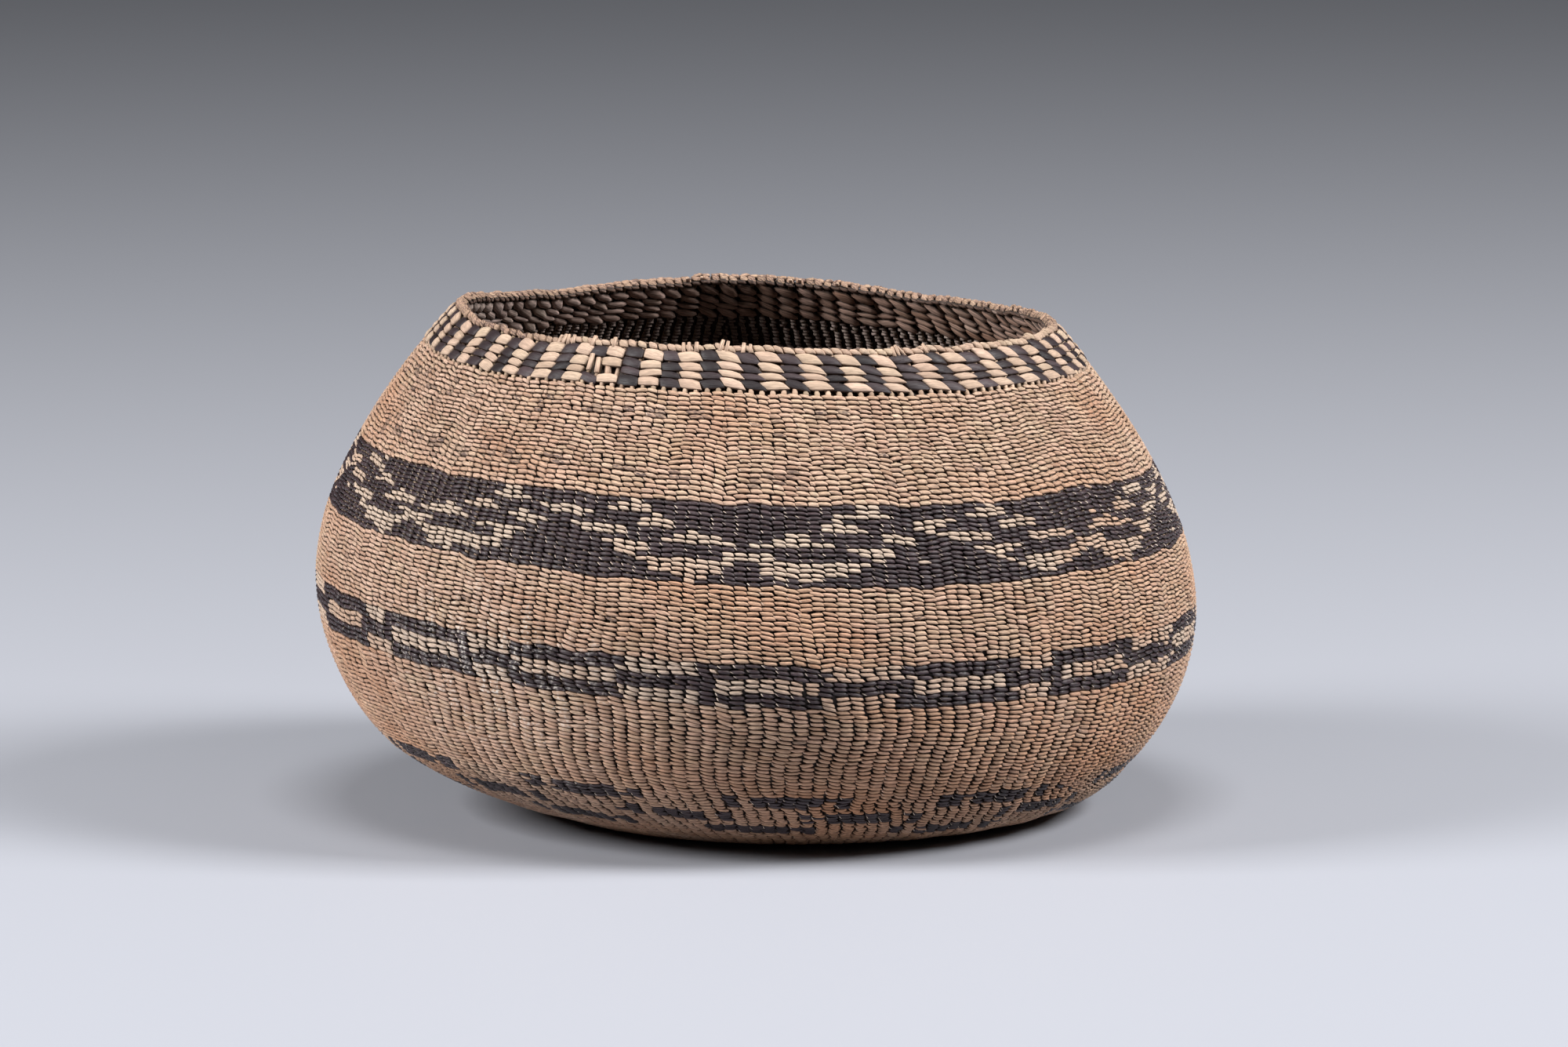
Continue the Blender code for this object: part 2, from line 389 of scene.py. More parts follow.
# How many warps stand side by side at fine rows of the wall, counted from the edge of the base
WARPS_AT_ROWS = ((0, 140), (38, 181), (60, 183), (74, MOST_WARPS), (104, MOST_WARPS), (FINE_ROWS, POSTS))


def warps_wanted(along):
    """How many warps a row has to cross."""
    radius, _ = on_outline(along)
    flat_count = 2 * math.pi * radius / np.minimum(STITCH_WIDTH, KNOT_STITCH + STITCH_WIDENING * along)
    wall_count = read_off(WARPS_AT_ROWS, (along - BASE_RADIUS) / ROW_PITCH)
    return np.where(along < BASE_RADIUS, flat_count, wall_count)


def warp_columns():
    """For every station: the turn of each warp, as a share of the round, and its share of the row."""
    number = np.arange(MOST_WARPS)
    enough = warps_wanted(STATIONS)[:, None] >= number + 1
    start = np.where(enough[0], -1, STATIONS[np.argmax(enough, axis=0)])
    stop = np.where(enough[-1], 1, STATIONS[len(STATIONS) - 1 - np.argmax(enough[::-1], axis=0)])
    home = number * GOLDEN_SHARE % 1
    order = np.argsort(home)
    start, stop, home = start[order], stop[order], home[order]
    from_end = np.minimum(STATIONS[:, None] - start, stop - STATIONS[:, None])
    grown = np.clip(from_end / MAKING_ROOM, 0, 1)
    grown = NEW_WARP_SHARE + (1 - NEW_WARP_SHARE) * grown**2 * (3 - 2 * grown)
    width = np.where(from_end >= 0, grown, 0)
    share = width / width.sum(axis=1, keepdims=True)
    turn = np.cumsum(share, axis=1) - share / 2
    turn = turn - np.mean(turn - home, axis=1, keepdims=True)
    post_share = 1 / POSTS
    first_post = turn[-1][share[-1] > 0][0]
    return turn - (first_post - post_share / 2) % post_share, share


WARP_TURN, WARP_SHARE = warp_columns()


def warps_at(along):
    """The angles of the warps at a distance along the outline, and their shares of the row."""
    station = int(np.argmin(np.abs(STATIONS - along)))
    alive = WARP_SHARE[station] > 0
    return FRONT + 2 * math.pi * WARP_TURN[station][alive], WARP_SHARE[station][alive]


def row_angles(count, shift=0.0):
    """The angles of the even stitches of one row. With no shift, the first is at the front."""
    return FRONT + 2 * math.pi * (np.arange(count) + shift) / count


BELLY_ALONG = 0.19
SHOULDER_ALONG = 0.23
for along in (BASE_RADIUS, BELLY_ALONG, SHOULDER_ALONG, WALL_END):
    print(f"warps {1000 * along:.0f} mm along the outline:", len(warps_at(along)[0]))

# %% [markdown]
# ## The form of a stitch
# The outer strand comes up between two warps, crosses one warp and dives again, a little lower than
# it rose, so its crossings slant from top left to bottom right. As a mesh it is a closed tube: rings
# along the strand, full in the middle, and a deep point at both ends. Each ring has most of its points
# on the side that shows. A stitch that is repeated thousands of times has 40 triangles.
# The shape also carries what the finishes read: how raised a point is, how far along the strand it
# is, and how far up. Its own UV map has the front of the stitch in most of the map.

# %% Closed tube
MAP_MARGIN = 0.04
HIDDEN_SHARE = 0.3

shapes = bpy.data.collections.new("shapes")
bpy.context.scene.collection.children.link(shapes)


def store(mesh, name, values):
    """Stores one number, or one vector, for each point of a mesh."""
    values = np.asarray(values, np.float32)
    kind, field = ("FLOAT_VECTOR", "vector") if values.ndim == 2 else ("FLOAT", "value")
    mesh.attributes.new(name, kind, "POINT").data.foreach_set(field, values.ravel())


def tube_faces(count, sides):
    """Four-sided faces between the rings of a tube, and triangles to its left and its right tip."""
    left, right = count * sides, count * sides + 1
    last = (count - 1) * sides
    faces = []
    for side in range(sides):
        after = (side + 1) % sides
        faces.append((after, side, left))
        for low in range(0, last, sides):
            high = low + sides
            faces.append((low + after, high + after, high + side, low + side))
        faces.append((last + side, last + after, right))
    return faces


def steps_round(ring):
    """Where on the map each side of a ring begins. Sides that don't show get less room."""
    corners = np.array(ring)
    after = np.roll(corners, -1, axis=0)
    shows = (corners[:, 2] + after[:, 2]) / 2 > (corners[:, 2].min() + corners[:, 2].max()) / 2
    widths = np.linalg.norm(after - corners, axis=1) * np.where(shows, 1, HIDDEN_SHARE)
    return np.concatenate([[0], np.cumsum(widths) / widths.sum()])


def lay_map(mesh, points, steps):
    """Lays the map of a tube: along the strand to the right, round the strand upwards."""
    sides, tips = len(steps) - 1, len(points) - 2
    span = 1 - 2 * MAP_MARGIN
    layer = mesh.uv_layers.new(name="OFBake")
    for polygon in mesh.polygons:
        on_ring = [vertex % sides for vertex in polygon.vertices if vertex < tips]
        wraps = 0 in on_ring and sides - 1 in on_ring
        heights = {side: steps[sides if wraps and side == 0 else side] for side in on_ring}
        tip_height = sum(heights.values()) / len(heights)
        for loop, vertex in zip(polygon.loop_indices, polygon.vertices):
            height = heights[vertex % sides] if vertex < tips else tip_height
            along = (points[vertex, 0] - points[:, 0].min()) / np.ptp(points[:, 0])
            layer.data[loop].uv = (MAP_MARGIN + span * along, MAP_MARGIN + span * height)


def closed_tube(name, rings, tips, strand):
    """A closed tube through rings of points between two tips, with its map and strand coordinates."""
    points = np.array([point for ring in rings for point in ring] + list(tips))
    mesh = bpy.data.meshes.new(name)
    mesh.from_pydata(points.tolist(), [], tube_faces(len(rings), len(rings[0])))
    mesh.shade_smooth()
    lay_map(mesh, points, steps_round(rings[len(rings) // 2]))
    store(mesh, "raised", (points[:, 2] - points[:, 2].min()) / np.ptp(points[:, 2]))
    store(mesh, "strand", strand)
    shape = bpy.data.objects.new(name, mesh)
    shapes.objects.link(shape)
    return shape


# %% One stitch, and a family of them
END_THINNING = 0.3
EARLY_FALL = 0.3


def stitch_shape(name, stops, section, form):
    """A stitch one unit wide and high, whose outermost point lies at height 0 of its own Z."""
    slant, half_length, taper, dive, tip_depth, thickness, power, drop, lap, half_height = form
    rings, strand = [], []
    for t in stops:
        end = abs(t) ** 3
        high = half_height * (1 - taper * end)
        thick = thickness / 2 * (1 - END_THINNING * end)
        middle = lap * t - dive * end - thick
        fall = -drop * t * (EARLY_FALL + (1 - EARLY_FALL) * abs(t))
        ring = []
        for degrees in section:
            up, out = math.cos(math.radians(degrees)), math.sin(math.radians(degrees))
            y = fall + high * math.copysign(abs(up) ** power, up)
            z = middle + thick * math.copysign(abs(out) ** power, out)
            ring.append((half_length * t - slant * y, y, z))
            strand.append((t, up, out))
        rings.append(ring)
    tips = [(side * (half_length - slant * drop), -side * drop, -tip_depth) for side in (-1, 1)]
    return closed_tube(name, rings, tips, strand + [(-1, 0, 0), (1, 0, 0)])


def triangles_of(mesh):
    """How many triangles a mesh has."""
    return sum(len(polygon.vertices) - 2 for polygon in mesh.polygons)


def enclosed(mesh):
    """The volume inside a mesh, which is negative where its faces point inwards."""
    total = 0
    for polygon in mesh.polygons:
        corners = [mesh.vertices[vertex].co for vertex in polygon.vertices]
        for second, third in zip(corners[1:], corners[2:]):
            total += corners[0].dot(second.cross(third)) / 6
    return total


def family(name, *members):
    """A collection of shapes, in the order of their names, of which every point picks one by number."""
    group = bpy.data.collections.new(name)
    shapes.children.link(group)
    for shape in members:
        group.objects.link(shape)
        size = round(enclosed(shape.data), 3)
        print(shape.name, triangles_of(shape.data), "triangles, encloses", size)
    return group


# %% Stitch shapes
TWO_STOPS = (-0.55, 0.55)
FOUR_STOPS = (-0.86, -0.42, 0.42, 0.86)
SIX_STOPS = (-0.93, -0.75, -0.3, 0.3, 0.75, 0.93)
FRONT_SECTION = (-25, 30, 90, 150, 205)
BROAD_SECTION = (-25, 12, 40, 90, 140, 168, 205, 270)
BACK_SECTION = (-10, 90, 190, 270)
BROAD_SLANTS = (-0.14, 0.05, 0.24, 0.42)

# Each form: its slant, half its length, how much it narrows to its ends and how far they dive, the
# depth of its tips, its thickness, the power that rounds (above 1) or squares (under 1) its section,
# how far it falls, how far its right end comes out over the next stitch, half its height
FINE_FORMS = (
    (0.26, 0.545, 0.36, 0.50, 1.15, 1.35, 0.94, 0.10, 0.0, 0.47),
    (0.36, 0.550, 0.46, 0.56, 1.15, 1.35, 1.00, 0.14, 0.0, 0.475),
    (0.16, 0.535, 0.28, 0.48, 1.15, 1.40, 0.90, 0.06, 0.0, 0.46),
    (0.14, 0.535, 0.46, 0.66, 1.15, 1.40, 1.00, 0.12, 0.0, 0.46),
    (0.24, 0.545, 0.56, 0.72, 1.15, 1.40, 1.00, 0.16, 0.0, 0.47),
)
BROAD_FORMS = [(slant, 0.515, 0.28, 0.40, 0.8, 0.9, 0.66, 0.09, 0.08, 0.475) for slant in BROAD_SLANTS]
RIM_FORM = (0.36, 0.545, 0.40, 0.40, 0.8, 1.0, 0.85, 0.16, 0.05, 0.475)
LEAF_FORM = (0.24, 0.66, 1.10, 0.50, 0.9, 0.9, 1.0, 0.28, 0.24, 0.475)
INNER_FORM = (0.16, 0.52, 0.4, 0.5, 1.0, 0.9, 1.0, 0.14, 0.0, 0.475)


def stitches(name, stops, section, *forms):
    """A family of stitches with the same rings, one for each form."""
    named = [(f"{name}_{number + 1}", form) for number, form in enumerate(forms)]
    return family(name, *[stitch_shape(shape, stops, section, form) for shape, form in named])


FINE_STITCHES = stitches("fine", FOUR_STOPS, FRONT_SECTION, *FINE_FORMS)
BROAD_STITCHES = stitches("broad", SIX_STOPS, BROAD_SECTION, *BROAD_FORMS)
RIM_STITCHES = stitches("rim", FOUR_STOPS, BROAD_SECTION, RIM_FORM)
LEAF_STITCHES = stitches("leaf", FOUR_STOPS, BROAD_SECTION, LEAF_FORM)
INNER_STITCHES = stitches("inner", TWO_STOPS, BACK_SECTION, INNER_FORM)

# %% [markdown]
# ## Setting the stitches on the surface
# Instancing is the way to repeat a shape thousands of times: the weave is a cloud of points, one for
# each stitch, and a node tree sets the shape on every point. Each point says which way is out and
# which way the row runs, how large its stitch is, and what its finish needs to know. The tree adds a
# little unevenness of size and turn from a fixed seed, then makes real geometry of it.

# %% Helpers for node trees
def add_node(tree, kind, **settings):
    """A new node with its settings."""
    node = tree.nodes.new(kind)
    for name, value in settings.items():
        setattr(node, name, value)
    return node


def feed(tree, socket, value):
    """Links a socket to another socket, or sets it to a value."""
    if isinstance(value, bpy.types.NodeSocket):
        tree.links.new(value, socket)
    elif hasattr(value, "__len__") and socket.type == "RGBA":
        socket.default_value = (*value, 1.0)
    else:
        socket.default_value = value


def result_of(tree, kind, inputs, output=0, **settings):
    """What a new node gives, with its settings and with values or sockets for its inputs."""
    node = add_node(tree, kind, **settings)
    for name, value in inputs.items():
        feed(tree, node.inputs[name], value)
    return node.outputs[output]


def calculated(tree, operation, first, second=0.0):
    """One calculation with one or two numbers."""
    return result_of(tree, "ShaderNodeMath", {0: first, 1: second}, operation=operation)


def modifier_tree(name, *inputs):
    """A node tree for modifiers, with its inputs, and what they give."""
    tree = bpy.data.node_groups.new(name, "GeometryNodeTree")
    ends = ("Geometry", "NodeSocketGeometry", None), ("Finish", "NodeSocketMaterial", None)
    for input_name, kind, default in (ends[0], *inputs, ends[1]):
        socket = tree.interface.new_socket(name=input_name, in_out="INPUT", socket_type=kind)
        if default is not None:
            socket.default_value = default
    tree.interface.new_socket(name="Geometry", in_out="OUTPUT", socket_type="NodeSocketGeometry")
    return tree, add_node(tree, "NodeGroupInput").outputs


def give_out(tree, geometry, finish):
    """Ends a tree: makes its instances real and gives them their finish."""
    real = result_of(tree, "GeometryNodeRealizeInstances", {"Geometry": geometry})
    painted = result_of(tree, "GeometryNodeSetMaterial", {"Geometry": real, "Material": finish})
    feed(tree, add_node(tree, "NodeGroupOutput").inputs["Geometry"], painted)


# %% Node tree of the weave
def named(tree, name, kind="FLOAT_VECTOR"):
    """The value of an attribute of the points."""
    return result_of(tree, "GeometryNodeInputNamedAttribute", {"Name": name}, data_type=kind)


def either_side(tree, middle, spread, seed, seed_step):
    """A random vector whose numbers lie within a spread of a middle value, with a seed of its own."""
    inputs = {
        0: calculated(tree, "SUBTRACT", middle, spread),
        1: calculated(tree, "ADD", middle, spread),
        "Seed": calculated(tree, "ADD", seed, seed_step),
    }
    return result_of(tree, "FunctionNodeRandomValue", inputs, data_type="FLOAT_VECTOR")


def weave_tree():
    """The tree that sets one shape of a family on every point of a row or a course."""
    tree, given = modifier_tree(
        "weave",
        ("Shapes", "NodeSocketCollection", None),
        ("Size unevenness", "NodeSocketFloat", 0.05),
        ("Turn unevenness", "NodeSocketFloat", 0.04),
        ("Seed", "NodeSocketInt", 1),
    )
    tilt = either_side(tree, 0, given["Turn unevenness"], given["Seed"], 1)
    growth = either_side(tree, 1, given["Size unevenness"], given["Seed"], 2)
    axes = {"Primary Axis": named(tree, "outward"), "Secondary Axis": named(tree, "across")}
    ways = {"primary_axis": "Z", "secondary_axis": "X"}
    turns = {
        "Rotation": result_of(tree, "FunctionNodeAxesToRotation", axes, **ways),
        "Rotate By": result_of(tree, "FunctionNodeEulerToRotation", {0: tilt}),
    }
    scales = {0: named(tree, "size"), 1: growth}
    source = {"Collection": given["Shapes"], "Separate Children": True}
    inputs = {
        "Points": given["Geometry"],
        "Instance": result_of(tree, "GeometryNodeCollectionInfo", source),
        "Pick Instance": True,
        "Instance Index": named(tree, "pick", "INT"),
        "Rotation": result_of(tree, "FunctionNodeRotateRotation", turns, rotation_space="LOCAL"),
        "Scale": result_of(tree, "ShaderNodeVectorMath", scales, operation="MULTIPLY"),
    }
    give_out(tree, result_of(tree, "GeometryNodeInstanceOnPoints", inputs), given["Finish"])
    return tree


WEAVE = weave_tree()
print("the weave's tree has", len(WEAVE.nodes), "nodes")

# %% [markdown]
# ## From points to a finished piece
# The points hold their attributes under plain names. Once the tree has run, the piece is copied to a
# plain mesh, each stitch gets its own cell of the piece's map, and the points and the tree's own
# attributes are dropped.

# %% Points of stitches
FRAME_STEP = 0.0006
CELL_SHAPE = 1.7


def facing(angle, along, depth, inside=False):
    """Unit vectors out of the wall and along the row, as someone in front of that side sees them.

    Also how much wider and higher the surface is there than the even outline.
    """
    turn_step = FRAME_STEP / np.maximum(on_outline(along)[0], FRAME_STEP)
    round_it = place(angle + turn_step, along, depth) - place(angle - turn_step, along, depth)
    up_it = place(angle, along + FRAME_STEP, depth) - place(angle, along - FRAME_STEP, depth)
    outward = np.cross(round_it, up_it)
    outward /= np.linalg.norm(outward, axis=1, keepdims=True)
    across = round_it / np.linalg.norm(round_it, axis=1, keepdims=True)
    wider = np.linalg.norm(round_it, axis=1) / (2 * turn_step * on_outline(along)[0])
    higher = np.linalg.norm(up_it, axis=1) / (2 * FRAME_STEP)
    stretch = np.stack([wider, higher, 1 + 0 * wider], axis=1)
    if inside:
        return -outward, -across, stretch
    return outward, across, stretch


def even_width(along, count):
    """The width of a stitch where a row has so many even ones."""
    return 2 * math.pi * on_outline(along)[0] / count


def sizes_of(width, height, thickness):
    """Widths, heights and thicknesses, each given as one number or as one for each stitch."""
    return np.stack(np.broadcast_arrays(width, height, thickness), axis=1)


def looks_of(**looks):
    """The looks of stitches, each between 0 and 1. What isn't given is 0."""
    none = np.zeros(len(looks["tone"]))
    given = {name: np.clip(values, 0, 1) for name, values in looks.items()}
    return {**dict.fromkeys(("hue", "worn", "warm", "dust", "peep", "dark", "pale"), none), **given}


def points_with(points, outward, across, size, looks):
    """A mesh of loose points, one for each stitch, with all that the tree and the finishes read."""
    mesh = bpy.data.meshes.new("points")
    mesh.vertices.add(len(points))
    mesh.vertices.foreach_set("co", points.astype(np.float32).ravel())
    columns = math.ceil(math.sqrt(len(points) / CELL_SHAPE))
    number = np.arange(len(points))
    lines = math.ceil(len(points) / columns)
    cell = np.stack([number % columns / columns, number // columns / lines, number * 0], axis=1)
    helpers = {"outward": outward, "across": across, "size": size, "cell": cell, "pick": number * 0}
    for name, values in {**helpers, **looks}.items():
        store(mesh, name, values)
    return mesh, (columns, lines)


def weave_points(angle, along, depth, size, inside=False, lean=None, **looks):
    """The points of stitches in the wall.

    With a lean, in radians to the right, the shapes stand up instead of lying along the row.
    """
    outward, across, stretch = facing(angle, along, depth, inside)
    if lean is None:
        size = size * stretch
    else:
        upward = np.cross(outward, across)
        across = np.cos(lean)[:, None] * upward + np.sin(lean)[:, None] * across
    return points_with(place(angle, along, depth), outward, across, size, looks)


# %% Running a tree
def set_input(modifier, name, value):
    """Sets a named input of a node modifier by its socket's identifier."""
    sockets = modifier.node_group.interface.items_tree
    identifier = next(s.identifier for s in sockets if s.item_type == "SOCKET" and s.name == name)
    modifier[identifier] = value


def plain_mesh(name, mesh, tree, inputs):
    """Runs a tree on a mesh and gives the result as a new object with a plain mesh."""
    source = bpy.data.objects.new(name + "_source", mesh)
    shapes.objects.link(source)
    modifier = source.modifiers.new("Nodes", "NODES")
    modifier.node_group = tree
    for input_name, value in inputs.items():
        set_input(modifier, input_name, value)
    bpy.context.view_layer.update()
    evaluated = source.evaluated_get(bpy.context.evaluated_depsgraph_get())
    result = bpy.data.meshes.new_from_object(evaluated)
    bpy.data.objects.remove(source)
    bpy.data.meshes.remove(mesh)
    result.name = name
    piece = bpy.data.objects.new(name, result)
    bpy.context.scene.collection.objects.link(piece)
    return piece


# %% The map of a piece
HELPER_ATTRIBUTES = ("outward", "across", "size", "cell", "pick")


def lay_cells(mesh, grid):
    """Moves the map of every stitch to its own cell."""
    corners = np.zeros(len(mesh.loops), np.int32)
    mesh.loops.foreach_get("vertex_index", corners)
    cell = np.zeros(len(mesh.vertices) * 3, np.float32)
    mesh.attributes["cell"].data.foreach_get("vector", cell)
    cell = cell.reshape(-1, 3)[corners, :2]
    layer = mesh.uv_layers["OFBake"]
    places = np.zeros(len(mesh.loops) * 2, np.float32)
    layer.uv.foreach_get("vector", places)
    places = places.reshape(-1, 2) / np.array(grid, np.float32) + cell
    layer.uv.foreach_set("vector", places.astype(np.float32).ravel())


# %% Weaving and handing over
# The first seed of each kind of piece
SEEDS = {
    "fine": 100, "base": 200, "knot": 210, "checks": 300, "rim": 310, "cap": 311, "splints": 320,
    "crossed": 330, "rods": 400, "inner": 500, "inner base": 520, "inner checks": 530, "beads": 540,
}

# How uneven the stitches of a kind are: a share of their size, radians of turn
EVEN = (0.05, 0.04)
FINE_UNEVEN = (0.11, 0.07)
INNER_UNEVEN = (0.08, 0.08)
RIM_UNEVEN = (0.10, 0.10)
SPLINT_UNEVEN = (0.10, 0.08)
BEAD_UNEVEN = (0.12, 0.12)


def woven(name, points, shape_family, finish, seed, uneven=EVEN):
    """A finished piece: a shape on every point, as one plain mesh with its map."""
    mesh, grid = points
    inputs = {
        "Shapes": shape_family,
        "Size unevenness": uneven[0],
        "Turn unevenness": uneven[1],
        "Seed": seed,
        "Finish": finish,
    }
    piece = plain_mesh(name, mesh, WEAVE, inputs)
    lay_cells(piece.data, grid)
    for helper in HELPER_ATTRIBUTES:
        piece.data.attributes.remove(piece.data.attributes[helper])
    return piece


def joined(parts):
    """Joins pieces into the last of them."""
    with bpy.context.temp_override(active_object=parts[-1], selected_editable_objects=parts):
        bpy.ops.object.join()
    return parts[-1]


def hand_over(piece, slot, *nodes):
    """Says what a piece rides on and which solids it stands for, if any. Its slot is not used."""
    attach(piece, "root")
    if nodes:
        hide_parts(*nodes)
    print(f"{piece.name}: {triangles_of(piece.data)} triangles")


# %% [markdown]
# ## Shared effects of the finishes
# Three effects come back in every strand: the grain of split root and grass, which runs along the
# strand, painted shade at the ends and edges of each strand and deep in the weave, and the pale dust
# of handling. Each is a node group that gives only colours and numbers, so any finish can use it
# with its own values.

# %% Helpers for shader nodes
def mixed(tree, factor, low, high):
    """The colour between two colours."""
    return result_of(tree, "ShaderNodeMix", {0: factor, 6: low, 7: high}, 2, data_type="RGBA")


def eased(tree, value, low, high, to_low=0.0, to_high=1.0):
    """A value that goes smoothly from one limit to another."""
    limits = {"From Min": low, "From Max": high, "To Min": to_low, "To Max": to_high}
    inputs = {"Value": value, **limits}
    return result_of(tree, "ShaderNodeMapRange", inputs, interpolation_type="SMOOTHSTEP")


def product(tree, first, *others):
    """The product of several numbers."""
    for other in others:
        first = calculated(tree, "MULTIPLY", first, other)
    return first


def parts_of(tree, vector):
    """The three numbers of a vector."""
    node = add_node(tree, "ShaderNodeSeparateXYZ")
    tree.links.new(vector, node.inputs[0])
    return node.outputs


def noise_at(tree, vector, scale, detail):
    """Noise at a place."""
    return result_of(tree, "ShaderNodeTexNoise", {"Vector": vector, "Scale": scale, "Detail": detail})


def attribute(tree, name, output="Fac"):
    """What a piece says about itself under a name."""
    return add_node(tree, "ShaderNodeAttribute", attribute_name=name).outputs[output]


def new_group(name, inputs, outputs):
    """A shader node group with its sockets. Returns it with what it is given and what it gives."""
    group = bpy.data.node_groups.new(name, "ShaderNodeTree")
    for direction, sockets in (("INPUT", inputs), ("OUTPUT", outputs)):
        for socket, kind in sockets.items():
            group.interface.new_socket(name=socket, in_out=direction, socket_type="NodeSocket" + kind)
    return group, add_node(group, "NodeGroupInput").outputs, add_node(group, "NodeGroupOutput").inputs


def use(tree, group, **values):
    """Places a group in a material with its values. A name's underscores stand for spaces."""
    node = add_node(tree, "ShaderNodeGroup", node_tree=group)
    for name, value in values.items():
        feed(tree, node.inputs[name.replace("_", " ")], value)
    return node.outputs


# %% Grain
# Each pattern of the fibres: how often it changes along the strand and across each streak, and how
# far its noise is shifted from one tone to another, so that no two strands are the same
FIBRES = {"Streak": (0.9, 1.0, 41.0), "Blotch": (1.3, 0.25, 77.0)}
FIBRE_SCALE = 1.0
FIBRE_DETAIL = 2.0
FIBRE_CONTRAST = (0.3, 0.7)


def grain_group():
    """Long fibres that run along the strand: lighter and darker streaks, and their height."""
    inputs = {"Strand": "Vector", "Tone": "Float", "Streaks": "Float"}
    outputs = {"Streak": "Float", "Blotch": "Float", "Height": "Float"}
    group, given, result = new_group("fibre grain", inputs, outputs)
    along, up, _ = parts_of(group, given["Strand"])
    for name, (lengthwise, crosswise, shift) in FIBRES.items():
        x = product(group, along, lengthwise)
        y = product(group, up, given["Streaks"], crosswise)
        z = product(group, given["Tone"], shift)
        spot = result_of(group, "ShaderNodeCombineXYZ", {0: x, 1: y, 2: z})
        noise = noise_at(group, spot, FIBRE_SCALE, FIBRE_DETAIL)
        group.links.new(eased(group, noise, *FIBRE_CONTRAST), result[name])
        if name == "Streak":
            group.links.new(noise, result["Height"])
    return group


# %% Crevices
# Painted shade in the crevices: how gradually it begins, how much less the upper edge gets than the
# lower, as under light from above, how dark the edges go, and the heights of the strand above which
# nothing is shaded and under which all is
SHADE_FADE = 0.16
UPPER_EDGE_LESS_SHADED = 0.10
EDGE_SHADE = 0.8
CLEAR_HEIGHT = 0.45
DEEP_HEIGHT = 0.15


def crevice_shade_group():
    """Paints shade on the ends and the edges of a strand, less on its upper edge, and on what lies deep
    in the weave.
    """
    numbers = dict.fromkeys(("Raised", "Clean length", "Clean width"), "Float")
    inputs = {"Colour": "Color", "Dirt": "Color", "Strand": "Vector", **numbers}
    group, given, result = new_group("painted crevice shade", inputs, {"Colour": "Color"})
    along, up, _ = parts_of(group, given["Strand"])
    end = calculated(group, "ABSOLUTE", along)
    edge = calculated(group, "ABSOLUTE", up)
    edge = calculated(group, "SUBTRACT", edge, product(group, up, UPPER_EDGE_LESS_SHADED))
    end_limit = calculated(group, "ADD", given["Clean length"], SHADE_FADE)
    edge_limit = calculated(group, "ADD", given["Clean width"], SHADE_FADE)
    at_end = eased(group, end, given["Clean length"], end_limit)
    at_edge = eased(group, edge, given["Clean width"], edge_limit, 0.0, EDGE_SHADE)
    deep = eased(group, given["Raised"], CLEAR_HEIGHT, DEEP_HEIGHT)
    in_shade = calculated(group, "MAXIMUM", calculated(group, "MAXIMUM", at_end, at_edge), deep)
    group.links.new(mixed(group, in_shade, given["Colour"], given["Dirt"]), result["Colour"])
    return group


# %% Dust
DUST_COLOUR = (0.72, 0.64, 0.56)
SPECKS_IN_A_METRE = 900.0
SPECK_DETAIL = 3.0
SPECK_CONTRAST = (0.48, 0.66)
DUST_HEIGHTS = (0.4, 0.95)


def dust_group():
    """Pale scuffs and lint where the basket was handled."""
    inputs = {"Colour": "Color", "Dust": "Float", "Raised": "Float"}
    group, given, result = new_group("handling dust", inputs, {"Colour": "Color"})
    position = add_node(group, "ShaderNodeTexCoord").outputs["Object"]
    specks = eased(group, noise_at(group, position, SPECKS_IN_A_METRE, SPECK_DETAIL), *SPECK_CONTRAST)
    amount = product(group, specks, given["Dust"], eased(group, given["Raised"], *DUST_HEIGHTS))
    group.links.new(mixed(group, amount, given["Colour"], DUST_COLOUR), result["Colour"])
    return group


GRAIN = grain_group()
CREVICE_SHADE = crevice_shade_group()
DUST = dust_group()
print("shared effects:", ", ".join(group.name for group in (GRAIN, CREVICE_SHADE, DUST)))

# %% [markdown]
# ## The finishes
# The plain walls are a peeled grass or root in warm tan, which differs from stitch to stitch, from
# pinkish to straw. Some stitches are worn down in blotches to the grey-brown weft, and parts have gone
# orange. In the bands the same strand is covered with a pale or a near-black strip. Where the dark
# strips cross, a thread of the pale weft peeps out. All this is in one finish that reads what each
# stitch says about itself, with other values for the broad rows, the inside and the bare warps.

# %% Colours of a strand
PINKISH = (1.02, 0.985, 1.01)
STRAW = (0.98, 1.015, 0.98)
PALE_STRIP = (0.70, 0.55, 0.43)
ORANGE = (0.60, 0.265, 0.12)
WORN_GREY = (0.13, 0.080, 0.066)
WORN_BLOTCHES = (0.15, 0.65)
BLACKEST = (0.013, 0.007, 0.008)
BROWNISH_BLACK = (0.082, 0.052, 0.056)
BLOTCH_SHADES = (0.86, 1.04)


def strand_colour(tree, light, deep, grain, grain_depth):
    """The colour of a strand, from what its stitch says, with the grain in it."""
    tone = attribute(tree, "tone")
    hue = mixed(tree, attribute(tree, "hue"), PINKISH, STRAW)
    plain = {0: mixed(tree, tone, deep, light), 1: hue}
    colour = result_of(tree, "ShaderNodeVectorMath", plain, operation="MULTIPLY")
    colour = mixed(tree, attribute(tree, "pale"), colour, PALE_STRIP)
    colour = mixed(tree, attribute(tree, "warm"), colour, ORANGE)
    worn = product(tree, attribute(tree, "worn"), eased(tree, grain["Blotch"], *WORN_BLOTCHES))
    colour = mixed(tree, worn, colour, WORN_GREY)
    black = mixed(tree, tone, BLACKEST, BROWNISH_BLACK)
    colour = mixed(tree, attribute(tree, "dark"), colour, black)
    shade = eased(tree, grain["Streak"], 0.0, 1.0, 1 - grain_depth, 1.0)
    shade = product(tree, shade, eased(tree, grain["Blotch"], 0.0, 1.0, *BLOTCH_SHADES))
    return result_of(tree, "ShaderNodeVectorMath", {0: colour, "Scale": shade}, operation="SCALE")


